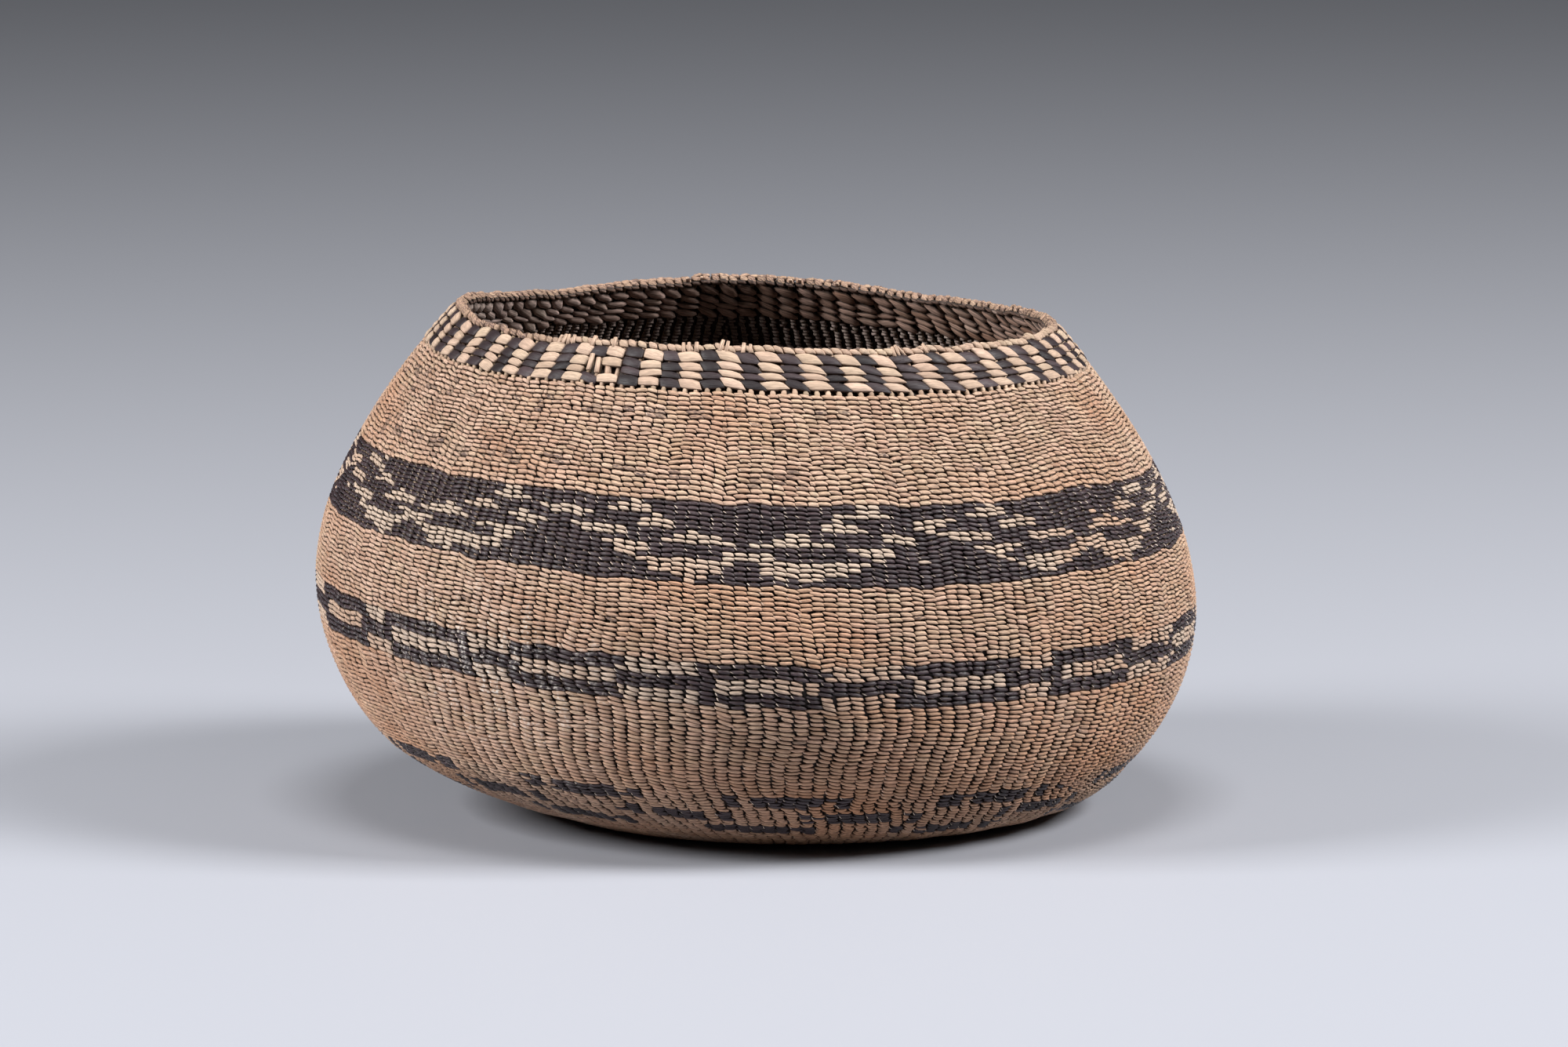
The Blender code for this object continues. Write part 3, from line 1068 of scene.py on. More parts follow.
# %% Threads that peep out
THREAD = (0.72, 0.58, 0.46)
THREAD_PLACE = 0.70
THREAD_SLANT = 0.14
THREAD_EDGE = (0.10, 0.05)
THREAD_FOOT = (-0.6, -0.4)
PEEP_ANYWHERE = (0.80, 0.90, 0.0, 0.5)
PEEP_IN_DARK = (0.60, 0.82)


def with_thread(tree, colour, strand, amount):
    """Lets a thread of the pale weft peep out near the left end of some strands, mostly dark ones."""
    along, up, _ = parts_of(tree, strand)
    slanted = calculated(tree, "ADD", along, product(tree, up, THREAD_SLANT))
    from_line = calculated(tree, "ABSOLUTE", calculated(tree, "ADD", slanted, THREAD_PLACE))
    on_line = product(tree, eased(tree, from_line, *THREAD_EDGE), eased(tree, up, *THREAD_FOOT))
    peep = attribute(tree, "peep")
    in_dark = product(tree, eased(tree, peep, *PEEP_IN_DARK), attribute(tree, "dark"))
    shows = calculated(tree, "MAXIMUM", eased(tree, peep, *PEEP_ANYWHERE), in_dark)
    return mixed(tree, product(tree, on_line, shows, amount), colour, THREAD)


# %% Strand finish
SHINE = 0.40
FIBRE_HEIGHT = 0.0002


def strand_finish(
    name,
    light,
    deep,
    shade_colour,
    streaks=6.0,
    grain_depth=0.55,
    unshaded_length=0.80,
    unshaded_width=0.69,
    roughness=0.62,
    dark_roughness=0.35,
    bump=0.7,
    peeping=1.0,
):
    """A finish for strands. Light and deep are the colours that single strands vary between; the shade
    colour is painted into their crevices.
    """
    material = bpy.data.materials.new(name)
    material.use_nodes = True
    tree = material.node_tree
    shader = tree.nodes["Principled BSDF"]
    raised = attribute(tree, "raised")
    strand = attribute(tree, "strand", "Vector")
    grain = use(tree, GRAIN, Strand=strand, Tone=attribute(tree, "tone"), Streaks=streaks)
    colour = strand_colour(tree, light, deep, grain, grain_depth)
    where = {"Strand": strand, "Raised": raised, "Clean_length": unshaded_length, "Clean_width": unshaded_width}
    colour = use(tree, CREVICE_SHADE, Colour=colour, Dirt=shade_colour, **where)[0]
    colour = with_thread(tree, colour, strand, peeping)
    colour = use(tree, DUST, Colour=colour, Dust=attribute(tree, "dust"), Raised=raised)[0]
    fibres = {"Strength": bump, "Distance": FIBRE_HEIGHT, "Height": grain["Height"]}
    rough = eased(tree, attribute(tree, "dark"), 0, 1, roughness, dark_roughness)
    feed(tree, shader.inputs["Base Color"], colour)
    feed(tree, shader.inputs["Roughness"], rough)
    feed(tree, shader.inputs["Specular IOR Level"], SHINE)
    feed(tree, shader.inputs["Normal"], result_of(tree, "ShaderNodeBump", fibres))
    return material


# %% Finishes
# The third colour of each finish is the painted shade of its crevices, darkest between the dark and pale
# strips of the bands
TAN = (0.74, 0.51, 0.365), (0.42, 0.235, 0.140)
WALL_FINISH = strand_finish("wall_weft", *TAN, (0.045, 0.018, 0.009))
BAND_FINISH = strand_finish("band_weft", *TAN, (0.010, 0.005, 0.004))
CHECK_FINISH = strand_finish(
    "check_weft",
    (0.60, 0.445, 0.33),
    (0.46, 0.325, 0.235),
    (0.040, 0.018, 0.010),
    streaks=9,
    grain_depth=0.25,
    unshaded_length=0.90,
    unshaded_width=0.90,
    roughness=0.80,
    dark_roughness=0.50,
    bump=1.0,
    peeping=0,
)
BROWN = (0.60, 0.47, 0.41), (0.20, 0.140, 0.115)
INSIDE_FINISH = strand_finish("inside_weft", *BROWN, (0.008, 0.005, 0.003), roughness=0.85, peeping=0)
BARE = (0.66, 0.47, 0.33), (0.44, 0.29, 0.19)
WARP_FINISH = strand_finish("bare_warp", *BARE, (0.08, 0.04, 0.025), peeping=0)
print("finishes:", ", ".join(material.name for material in bpy.data.materials))

# %% [markdown]
# ## The patterns
# The bands are drawn by rule, in repeats that close round the basket. The upper band has seven
# repeats. Its dark ground has wide and narrow forms that hang from its top edge and rise from its
# bottom edge, half a repeat apart, and between them lie the pale stepped forms, which are given as a
# few blocks of half a repeat. The middle band is a row of fifteen barred boxes, and the lower band
# three lines of dashes. A weaver miscounts now and then, so edges wander by a row and single stitches
# change places, from a fixed seed.

# %% Pattern of the upper band
UPPER_REPEATS = 7

# The pale stepped forms of half a repeat: the first row from the top, degrees from the middle of the
# wide hanging form, and half the width row by row
PALE_BLOCKS = (
    (0, 16.7, (1.0, 2.6, 3.5)),
    (3, 11.8, (0.9, 2.6, 3.3)),
    (3, 25.7, (3.7, 2.4, 0.9)),
    (6, 6.0, (0.8, 3.4, 4.6)),
    (6, 20.8, (3.3, 2.7)),
    (9, 16.2, (3.8, 2.4, 0.9)),
    (10, 0.0, (3.0, 3.4)),
    (12, 8.0, (7.2, 5.6, 4.7, 2.3, 0.9)),
)
BAND_MIDDLE = -1.2
BLOCK_WANDER = 0.8
EDGE_WANDER = 0.9


def repeat_share(turn, repeats):
    """Where a place lies in its repeat, between -0.5 and 0.5, with 0 in the middle of the repeat."""
    return (turn * repeats / 360 + 0.5) % 1 - 0.5


def zigzags(turn, row, angle, along):
    """True where a stitch of the upper band is pale. Rows count from the top of the band."""
    turn = turn - BAND_MIDDLE + BLOCK_WANDER * waves("zigzag forms", angle, along)
    distance = np.abs(repeat_share(turn, UPPER_REPEATS)) * 360 / UPPER_REPEATS
    distance = distance + EDGE_WANDER * waves("zigzag edges", angle, along)
    pale = np.zeros(len(turn), bool)
    for first, centre, halves in PALE_BLOCKS:
        number = np.floor(row).astype(int) - first
        there = (number >= 0) & (number < len(halves))
        half = np.array(halves)[np.clip(number, 0, len(halves) - 1)]
        pale = pale | (there & (np.abs(distance - centre) < half))
    return pale


# %% Patterns of the middle and lower bands
# The boxes are measured in degrees, and the dashes in stitches, of which a repeat has DASH_MOTIF
BOXES = 15
FIRST_BOX = -6.7
BOX_WIDTH = 14.6
BOX_SIDE = 0.7
BAR_ROWS = 3
DASH_REPEATS = 11
FIRST_DASH = -6.0
DASH_MOTIF = 16.6
SMALL_DASH = 1.2
DASH_GAP = 0.85
LONG_DASH = 5.3
DASH_WANDER = 0.012

# Each line of dashes: its step against the others, as a share of a repeat, and how far the dashes lie
# off their even places: degrees round from the front, degrees
DASH_LINES = {
    "top dashes": (
        0.0, ((-180, 0.0), (-63, -1.0), (-27, 3.2), (3, 0.0), (39, 3.3), (70, 2.0), (180, 0.0))
    ),
    "middle dashes": (0.61, ((-180, 0.0), (-60, 2.0), (-12, 4.4), (12, -1.1), (35, 1.0), (180, 0.0))),
    "bottom dashes": (0.19, ((-180, 0.0), (-60, 0.0), (-27, 3.2), (3, 0.4), (35, 2.0), (180, 0.0))),
}

# How far the maker set each box off its even place, in degrees
BOX_SHIFTS = (0.0, 2.1, 0.0, 3.7, 1.2, -1.5, 0.8, -2.0, 1.6, -0.9, 0.5, 1.8, 3.7, 0.0, -2.1)


def boxes(turn, row):
    """True where a stitch of the middle band is pale. Rows count from the top of the band."""
    centres = FIRST_BOX + BOX_WIDTH / 2 + 360 / BOXES * np.arange(BOXES) + BOX_SHIFTS
    from_centre = np.abs((turn[:, None] - centres + 180) % 360 - 180).min(axis=1)
    on_side = np.abs(from_centre - BOX_WIDTH / 2) < BOX_SIDE
    in_centre = row // BAR_ROWS == 1
    return ~on_side & np.where(from_centre < BOX_WIDTH / 2, in_centre, ~in_centre)


def dashes(line, turn, angle):
    """True where a stitch of a line of dashes is pale."""
    step, shifts = DASH_LINES[line]
    turn = turn - read_off(shifts, turn)
    repeat = (turn - FIRST_DASH) * DASH_REPEATS / 360 + step + DASH_WANDER * waves(line, angle)
    in_repeat = repeat % 1 * DASH_MOTIF
    dark = in_repeat < SMALL_DASH
    start = SMALL_DASH + DASH_GAP
    for length in (LONG_DASH, SMALL_DASH):
        dark = dark | ((in_repeat > start) & (in_repeat < start + length))
        start = start + length + DASH_GAP
    return ~dark


def is_pale(pattern, turn, row, angle, along):
    """Which stitches of a patterned course are pale."""
    if pattern == "zigzags":
        return zigzags(turn, row, angle, along)
    if pattern == "boxes":
        return boxes(turn, row)
    if pattern in DASH_LINES:
        return dashes(pattern, turn, angle)
    return np.ones(len(turn), bool)


# The first row above each band whose rows count from its top
BAND_TOP = {
    "zigzags": row_above("upper_band_hanging_triangles"),
    "boxes": row_above("middle_band_top_bars"),
}
print("upper band:", UPPER_REPEATS, "repeats; middle band:", BOXES, "boxes")

# %% [markdown]
# ## What differs from stitch to stitch
# Age shows in patches: two belts of worn, grey-brown stitches above the upper band and under the
# checks, orange stains on the right, a lighter front, a redder lower wall, a pinkish left side, and
# pale dust on the left of the belly. Soft bumps round their middles give them, and random numbers
# scatter the single stitches.

# %% Age of the stitches
# Where patches lie: degrees round from the front, half-width, fine row from the bottom, half-height
LIGHT_FRONT = (-8, 34, 42, 20)
ORANGE_RIGHT = (48, 28, 66, 26)
DUSTY_LEFT = (-36, 17, 62, 18)
RED_LOWER_FRONT = (12, 42, 34, 20)
PINK_LEFT = (-60, 40)

# How much each cause changes the tone, the hue and the warmth
TONE = {"middle": 0.45, "upwards": 0.25, "patches": 0.16, "light front": 0.28, "scatter": 0.15}
HUE = {"middle": 0.5, "wander": 0.35, "pink left": 0.35, "scatter": 0.3}
WARMTH = {"stains": 0.35, "orange right": 0.35, "red lower front": 0.55}
# Rows where the tone starts and ends rising upwards: painted shade, darker low on the wall, where less of
# the light from above falls
UPWARDS = ((20, 0), (80, 1))

# Worn belts: the row of the middle, counted down from the checks, half-height, strength
WORN_BELTS = ((5.5, 1.6, 1.0), (19, 1.8, 0.9))
BELT_END = 14
BELT_FADE = 5
BELT_CHANCE = 0.25
BELT_CLUSTERS = 1.1
MOST_WORN = 0.85
WORN_ANYWHERE = 0.006
WORN_DEPTHS = (0.5, 1.0)

# How evenly the orange, the red and the dust cover their patches
ORANGE_BASE = 0.6
RED_ALL_ROUND = 0.22
RED_IN_FRONT = 0.7
DUST_BASE = 0.4
MOST_WARM = 0.8


def patch(turn, row, middle, half_width, middle_row, half_height):
    """How much a stitch belongs to a patch."""
    return bump_at(turn, middle, half_width) * bump_at(row, middle_row, half_height)


def aged_and_shaded(angle, along, row, draw):
    """The looks of plain stitches."""
    turn = degrees_round(angle)
    count = len(angle)
    patches = waves("patches", angle, along)
    clusters = waves("clusters", angle, along)
    tone = TONE["middle"] + TONE["upwards"] * read_off(UPWARDS, row) + TONE["patches"] * patches
    tone = tone + TONE["light front"] * patch(turn, row, *LIGHT_FRONT)
    tone = tone + TONE["scatter"] * draw.normal(size=count)
    hue = HUE["middle"] + HUE["wander"] * waves("hues", angle, along)
    hue = hue - HUE["pink left"] * bump_at(turn, *PINK_LEFT) + HUE["scatter"] * draw.normal(size=count)
    belts = sum(strength * bump_at(row, FINE_ROWS - down, half) for down, half, strength in WORN_BELTS)
    belts = belts / (1 + np.exp((turn - BELT_END) / BELT_FADE))
    chance = belts * np.clip(BELT_CHANCE + BELT_CLUSTERS * clusters, 0, MOST_WORN) + WORN_ANYWHERE
    worn = (draw.random(count) < chance) * draw.uniform(*WORN_DEPTHS, count)
    warm = WARMTH["stains"] * np.clip(waves("stains", angle, along), 0, 1)
    orange = patch(turn, row, *ORANGE_RIGHT) * np.clip(ORANGE_BASE + patches, 0, 1)
    in_front, half_width, *low_rows = RED_LOWER_FRONT
    red = RED_ALL_ROUND + RED_IN_FRONT * bump_at(turn, in_front, half_width)
    red = red * bump_at(row, *low_rows)
    warm = warm + WARMTH["orange right"] * orange + WARMTH["red lower front"] * red
    dust = patch(turn, row, *DUSTY_LEFT) * np.clip(DUST_BASE + clusters, 0, 1)
    return looks_of(tone=tone, hue=hue, worn=worn, warm=np.minimum(warm, MOST_WARM), dust=dust)


# %% [markdown]
# ## The fine courses
# Every course is made row by row: its angles, its stitches' width, then what they look like. The
# stitches of a row are set a little unevenly, and the whole row is turned a little against the next.

# %% Points of rows
ROW_TURN = 0.03
UNEVEN_PLACE = 0.035
UNEVEN_HEIGHT = 0.03


def row_of_points(along, draw):
    """Angles, distances and widths of one row's stitches, set unevenly by a small share of a stitch."""
    angle, share = warps_at(along)
    count = len(angle)
    turned = ROW_TURN * draw.normal() + UNEVEN_PLACE * draw.normal(size=count)
    round_length = 2 * math.pi * float(on_outline(along)[0])
    angle = angle + turned * 2 * math.pi * share
    return angle, along + UNEVEN_HEIGHT * ROW_PITCH * draw.normal(size=count), share * round_length


def rows_of_points(alongs, draw):
    """The same for several rows, with the number of the row of each stitch."""
    rows = [row_of_points(along, draw) for along in alongs]
    number = np.repeat(np.arange(len(rows)), [len(row[0]) for row in rows])
    angle, along, width = (np.concatenate(parts) for parts in zip(*rows))
    return angle, along, width, number


# %% Points of a fine course
CHANGED_STITCHES = 0.015
FINE_SWELL = 1.05

# Low down and in front more stitches have a round, narrow form that leaves dark slots
ROUND_BELOW = 78
ROUND_FADE = 22
ROUND_ELSEWHERE = 0.35
ROUND_IN_FRONT = 0.5
FRONT_OF_BELLY = (10, 42)
FIRST_ROUND = 3

# How pale the pale stitches of a pattern are, and how narrow, so that dark slots stay between them
PALENESS = {"zigzags": 0.85, "boxes": 0.75}
BAND_PALENESS = 0.25
PALE_WIDTH = 0.93
SLOTTED_ROWS = ((0, 0.94), (50, 0.95), (70, 0.98), (85, 1.0), (FINE_ROWS, 1.0))


def forms_picked(row, angle, draw):
    """Which of the fine shapes each stitch has: one of the first three, or one of the round ones.

    The tree reads whole numbers, so a half between two shapes is one of them again.
    """
    low_down = np.clip((ROUND_BELOW - row) / ROUND_FADE, 0, 1)
    in_front = ROUND_ELSEWHERE + ROUND_IN_FRONT * bump_at(degrees_round(angle), *FRONT_OF_BELLY)
    is_round = draw.random(len(angle)) < low_down * in_front
    step = draw.integers(3, size=len(angle))
    return np.where(is_round, FIRST_ROUND + step * 0.5, step)


def course_points(name, rows, pattern, draw):
    """All the stitches of one fine course."""
    woven_rows = WOVEN_ROWS.get(name, rows)
    height = rows / woven_rows
    middles = FIRST_ROW[name] + (np.arange(woven_rows) + 0.5) * height
    angle, along, width, number = rows_of_points(BASE_RADIUS + middles * ROW_PITCH, draw)
    row = middles[number]
    looks = aged_and_shaded(angle, along, row, draw)
    looks["peep"] = draw.random(len(angle))
    looks["pick"] = forms_picked(row, angle, draw)
    width = width * read_off(SLOTTED_ROWS, row)
    if pattern != "plain":
        pale = is_pale(pattern, degrees_round(angle), BAND_TOP.get(pattern, 0) - row, angle, along)
        pale = pale ^ (draw.random(len(angle)) < CHANGED_STITCHES)
        looks["dark"] = np.where(pale, 0.0, 1.0)
        looks["pale"] = np.where(pale, PALENESS.get(pattern, BAND_PALENESS), 0.0)
        looks["worn"] = looks["worn"] * 0
        width = width * np.where(pale, PALE_WIDTH, 1)
    size = sizes_of(width, ROW_PITCH * height, OUTER_WEFT * FINE_SWELL)
    return weave_points(angle, along, along * 0, size, **looks)


# %% Weave the fine courses
SLOT_OF_PATTERN = {"plain": "tan_weft", "pale rows": "pale_weft"}
SLOT_OF_COURSE = {"upper_band_zigzags": "patterned_weft", "middle_band_centre_bars": "pale_weft"}

for seed, (course, rows, pattern) in enumerate(FINE_COURSES, SEEDS["fine"]):
    points = course_points(course, rows, pattern, np.random.default_rng(seed))
    finish = WALL_FINISH if pattern == "plain" else BAND_FINISH
    piece = woven(course + "_stitches", points, FINE_STITCHES, finish, seed, FINE_UNEVEN)
    slot = SLOT_OF_COURSE.get(course, SLOT_OF_PATTERN.get(pattern, "dark_weft"))
    hand_over(piece, slot, course)

# %% [markdown]
# ## The base
# The base is the same twining laid flat: rings of stitches from its edge to the starting knot. In the
# knot the warps cross in two bundles, and the first turns of weft hold them together.

# %% Weave the base
BASE_PITCH = 0.0016
BASE_ROW = -20
BASE_WARMTH = 0.25


def base_rows(low, high):
    """The radii of the rings of stitches between two radii, and how far apart they are."""
    count = max(round((high - low) / BASE_PITCH), 1)
    pitch = (high - low) / count
    return low + (np.arange(count) + 0.5) * pitch, pitch


def weave_base(name, low, high, seed):
    """One course of the base between two radii. It looks like rows far under the wall's first one."""
    draw = np.random.default_rng(seed)
    alongs, pitch = base_rows(low, high)
    angle, along, width, _ = rows_of_points(alongs, draw)
    looks = aged_and_shaded(angle, along, along * 0 + BASE_ROW, draw)
    looks["warm"] = np.clip(looks["warm"] + BASE_WARMTH, 0, 1)
    points = weave_points(angle, along, along * 0, sizes_of(width, pitch, OUTER_WEFT), **looks)
    hand_over(woven(name + "_stitches", points, FINE_STITCHES, WALL_FINISH, seed), "tan_weft", name)


ring_width = (BASE_RADIUS - START_RADIUS) / BASE_RINGS
for ring in range(BASE_RINGS):
    low = START_RADIUS + ring * ring_width
    weave_base(f"base_course_{ring + 1}", low, low + ring_width, SEEDS["base"] + ring)
weave_base("start_knot", KNOT_RADIUS, START_RADIUS, SEEDS["knot"])

# %% [markdown]
# ## The checks
# Four broad rows lie under the rim. Each stitch crosses two warps, and dark and pale stitches stand in
# columns. The rows aren't equally high, and on the right each row is set off a little against the one
# below. The dark stitches lie a little deeper, so the pale ones come over their sides. The lowest row
# stands off the fine rows, which bares the warps. Inside the same rows are leaf-like.

# %% Where the checks lie
PAIRS = POSTS // 2

# The heights of the rows from the bottom up, as shares of the zone, and where their edges lie
CHECK_SHARES = (0.262, 0.190, 0.245, 0.303)
CHECK_EDGES = np.concatenate([[0], np.cumsum(CHECK_SHARES)])

# In stitches: how much single ones are out of place, and how far each row is set off against the one
# below. In degrees round: where the rows begin to be set off, and how gradually that comes and goes
CHECK_SCATTER = 0.02
SET_OFF = 0.10
SET_OFF_START = -25.0
SET_OFF_REACH = 25.0
SET_OFF_FADE = 60.0

# Which of the broad shapes a stitch is, from upright on the left to slanted on the right
SLANT_ROUND = ((-180, 3), (-120, 0), (-34, 0), (-2, 3), (180, 3))

# How far the lowest broad row stands off the fine rows: degrees round from the front, metres
POSTS_SHOWN = (
    (-180, 0.0006), (-35, 0.0004), (-10, 0.0008), (8, 0.0014), (24, 0.0012), (42, 0.0007), (180, 0.0006),
)

# How far the columns stand off their even places: degrees round from the front, degrees
COLUMN_DRIFT = (
    (-180, 0), (-60, 0), (-40.5, -0.6), (-33, -1.2), (-25.5, -2.3),
    (-18, -2.0), (-3, -2.3), (12.5, -2.5), (28, -3.3), (60, -3.0), (180, 0),
)

# Broken stitches: the row from the bottom, and degrees round from the front
LOST_CHECKS = ((1, -31.0), (2, -31.0), (1, -27.8))


def drifted(angle):
    """Angles of the columns of the rim's zone, moved off their even places."""
    return angle + np.radians(read_off(COLUMN_DRIFT, degrees_round(angle)))


def check_places(row, draw, inside):
    """Angles of one broad row, and which of its stitches are dark. Outside, broken ones are left out."""
    angle = drifted(row_angles(PAIRS, 0.5))
    turn = degrees_round(angle)
    begun = np.clip((turn - SET_OFF_START) / SET_OFF_REACH, 0, 1)
    set_off = SET_OFF * begun * np.clip((180 - turn) / SET_OFF_FADE, 0, 1)
    shift = CHECK_SCATTER * draw.normal(size=PAIRS) - row * set_off
    angle = angle + shift * 2 * math.pi / PAIRS
    dark = (np.arange(PAIRS) % 2 == 0).astype(float)
    lost = [turn for lost_row, turn in LOST_CHECKS if lost_row == row and not inside]
    nearest = [int(np.argmin(np.abs(degrees_round(angle) - turn))) for turn in lost]
    return np.delete(angle, nearest), np.delete(dark, nearest)


# %% Points of the checks
CHECK_CROWN = 0.0005
DARK_SUNK = 0.0003
DARK_NARROWER = 0.02
CHECK_OVERLAP = 1.02
LEAF_WIDTH = 0.90
LEAF_HEIGHT = 1.25
LEAF_THICKNESS = 1.6
LEAF_SUNK = 0.0002
CHECK_TONE = 0.5
DARK_TONE = 0.25
CHECK_HUE = 0.4
CHECK_WARMTH = 0.04
CHECK_MIX = 0.25

# Inside, the left is paler, painted light as from the lamp on the right, and the rest redder: degrees
# round from the front, half-width
LIT_LEFT_INSIDE = (-100, 60)
LEAF_TONE = 0.62
LIT_LEFT_TONE = 0.5
LEAF_HUE = 0.1
LEAF_WARMTH = 0.28


def check_points(row, draw, inside=False):
    """One broad row, outside or inside. Inside, the left is paler, which paints the light falling on it,
    and the rest redder.
    """
    angle, dark = check_places(row, draw, inside)
    turn = degrees_round(angle)
    bottom = CHECK_BOTTOM + (0 if inside else read_off(POSTS_SHOWN, turn))
    low, high = (bottom + step * (CHECK_TOP - bottom) for step in CHECK_EDGES[row : row + 2])
    along = angle * 0 + (low + high) / 2
    width = even_width(along, PAIRS)
    lit_left = bump_at(turn, *LIT_LEFT_INSIDE)
    if inside:
        tone, hue = LEAF_TONE + LIT_LEFT_TONE * lit_left, LEAF_HUE
        redder, dark = LEAF_WARMTH * (1 - lit_left), 0 * dark
    else:
        tone, hue, redder = CHECK_TONE - DARK_TONE * dark, CHECK_HUE, 0 * dark
    tone = tone + CHECK_MIX * draw.normal(size=len(angle))
    hue = hue + CHECK_MIX * draw.normal(size=len(angle))
    looks = looks_of(tone=tone, hue=hue, warm=CHECK_WARMTH + redder, dark=dark)
    if inside:
        size = sizes_of(width * LEAF_WIDTH, (high - low) * LEAF_HEIGHT, INNER_WEFT * LEAF_THICKNESS)
        return weave_points(angle, along, along * 0 + WALL_THICKNESS + LEAF_SUNK, size, True, **looks)
    looks["pick"] = read_off(SLANT_ROUND, turn).round()
    width = width * (CHECK_OVERLAP - DARK_NARROWER * dark)
    size = sizes_of(width, high - low, OUTER_WEFT + CHECK_CROWN + DARK_SUNK)
    return weave_points(angle, along, DARK_SUNK * dark - CHECK_CROWN, size, **looks)


for row in range(CHECK_ROWS):
    name = f"check_row_{row + 1}"
    seed = SEEDS["checks"] + row
    points = check_points(row, np.random.default_rng(seed))
    piece = woven(name + "_stitches", points, BROAD_STITCHES, CHECK_FINISH, seed)
    hand_over(piece, "patterned_weft", name)

# %% [markdown]
# ## The rim row
# A single row of short stitches locks the warps. It has three faces: the stitches outside, small beads
# inside, and a cap of strands that go over the top from one face to the other. From the left round the
# back to the right the rim is darker and more worn.

# %% Stitches of the rim row
RIM_CROWN = 0.0003
RIM_SCATTER = 0.06
EDGE_SCATTER = 0.00012
WORN_MIDDLE = 20
WORN_FROM = 55
WORN_REACH = 15
RIM_TONE = 0.45
RIM_HUE = 0.4
RIM_MIX = 0.3
RIM_WARMTH = 0.06
BEHIND_WARMTH = 0.14
BEHIND_WORN = (0.45, 1.0)


def rim_row(draw):
    """Angles, distances and looks of the stitches of the rim row."""
    angle = drifted(row_angles(POSTS, 0.5)) + RIM_SCATTER * draw.normal(size=POSTS) * 2 * math.pi / POSTS
    along = np.full(POSTS, WALL_END) + EDGE_SCATTER * draw.normal(size=POSTS)
    behind = np.clip((np.abs(degrees_round(angle) - WORN_MIDDLE) - WORN_FROM) / WORN_REACH, 0, 1)
    looks = looks_of(
        tone=RIM_TONE * (1 - behind) + RIM_MIX * draw.normal(size=POSTS),
        hue=RIM_HUE + RIM_MIX * draw.normal(size=POSTS),
        warm=RIM_WARMTH + BEHIND_WARMTH * behind,
        worn=behind * draw.uniform(*BEHIND_WORN, POSTS),
    )
    return angle, along, looks


def rim_face(draw, fill, height, thickness, depth, inside=False):
    """The stitches of the outer or the inner face, which fill a share of their even width."""
    angle, along, looks = rim_row(draw)
    along = along - height / 2
    size = sizes_of(even_width(along, POSTS) * fill, height, thickness)
    return weave_points(angle, along, along * 0 + depth, size, inside, **looks)


# %% Weave the rim row
RIM_FILL = 0.97
RIM_SWELL = 0.0012
CAP_FILL = 0.84
CAP_WIDTH = 0.0030


def cap_points(draw):
    """The strands that go over the top of the rim, from the outer to the inner face."""
    angle, along, looks = rim_row(draw)
    depth = along * 0 + WALL_THICKNESS / 2 - RIM_CROWN
    outward, across, _ = facing(angle, along, depth)
    size = sizes_of(even_width(along, POSTS) * CAP_FILL, CAP_WIDTH, OUTER_WEFT)
    return points_with(place(angle, along, depth), np.cross(outward, across), across, size, looks)


points = cap_points(np.random.default_rng(SEEDS["cap"]))
cap = woven("rim_cap", points, RIM_STITCHES, CHECK_FINISH, SEEDS["cap"], RIM_UNEVEN)
outer = RIM_FILL, RIM_ROW_HEIGHT, OUTER_WEFT + RIM_SWELL, -RIM_CROWN
points = rim_face(np.random.default_rng(SEEDS["rim"]), *outer)
face = woven("rim_row_stitches", points, RIM_STITCHES, CHECK_FINISH, SEEDS["rim"], RIM_UNEVEN)
hand_over(joined([cap, face]), "pale_weft", "rim_row")

# %% [markdown]
# ## The warps
# The warps are round rods between the two faces of the weave. They show under the checks, through the
# broken stitches, and as trimmed ends above the rim. A node tree sweeps a round section along every
# rod's line.

# %% Rods
ROD_RADIUS = 0.0009
ROD_SIDES = 6
ROD_LOW_END = BASE_RADIUS + 0.004
ROD_HIGH_END = WALL_END - 0.0012
ROD_TIP = 0.0003
BARE_HALF_HEIGHT = 0.0011
BARE_LIFT = 0.0011
BARE_MIDDLE = CHECK_BOTTOM + max(gap for _, gap in POSTS_SHOWN) / 2

# Close together where the rods are bare, further apart elsewhere: from, to, how many
ROD_STRETCHES = (
    (ROD_LOW_END, BARE_MIDDLE - 0.004, 24),
    (BARE_MIDDLE - 0.0020, BARE_MIDDLE + 0.0020, 7),
    (BARE_MIDDLE + 0.004, ROD_HIGH_END - 0.0006, 3),
    (ROD_HIGH_END, ROD_HIGH_END, 1),
)
ROD_STATIONS = np.concatenate([np.linspace(*stretch) for stretch in ROD_STRETCHES])


def rod_tree():
    """The tree that sweeps a round section along every line of a mesh."""
    sockets = ("Radius", "NodeSocketFloat", ROD_RADIUS), ("Sides", "NodeSocketInt", ROD_SIDES)
    tree, given = modifier_tree("rods", *sockets)
    circle = {"Resolution": given["Sides"], "Radius": given["Radius"]}
    inputs = {
        "Curve": result_of(tree, "GeometryNodeMeshToCurve", {"Mesh": given["Geometry"]}),
        "Profile Curve": result_of(tree, "GeometryNodeCurvePrimitiveCircle", circle),
        "Fill Caps": True,
    }
    give_out(tree, result_of(tree, "GeometryNodeCurveToMesh", inputs), given["Finish"])
    return tree


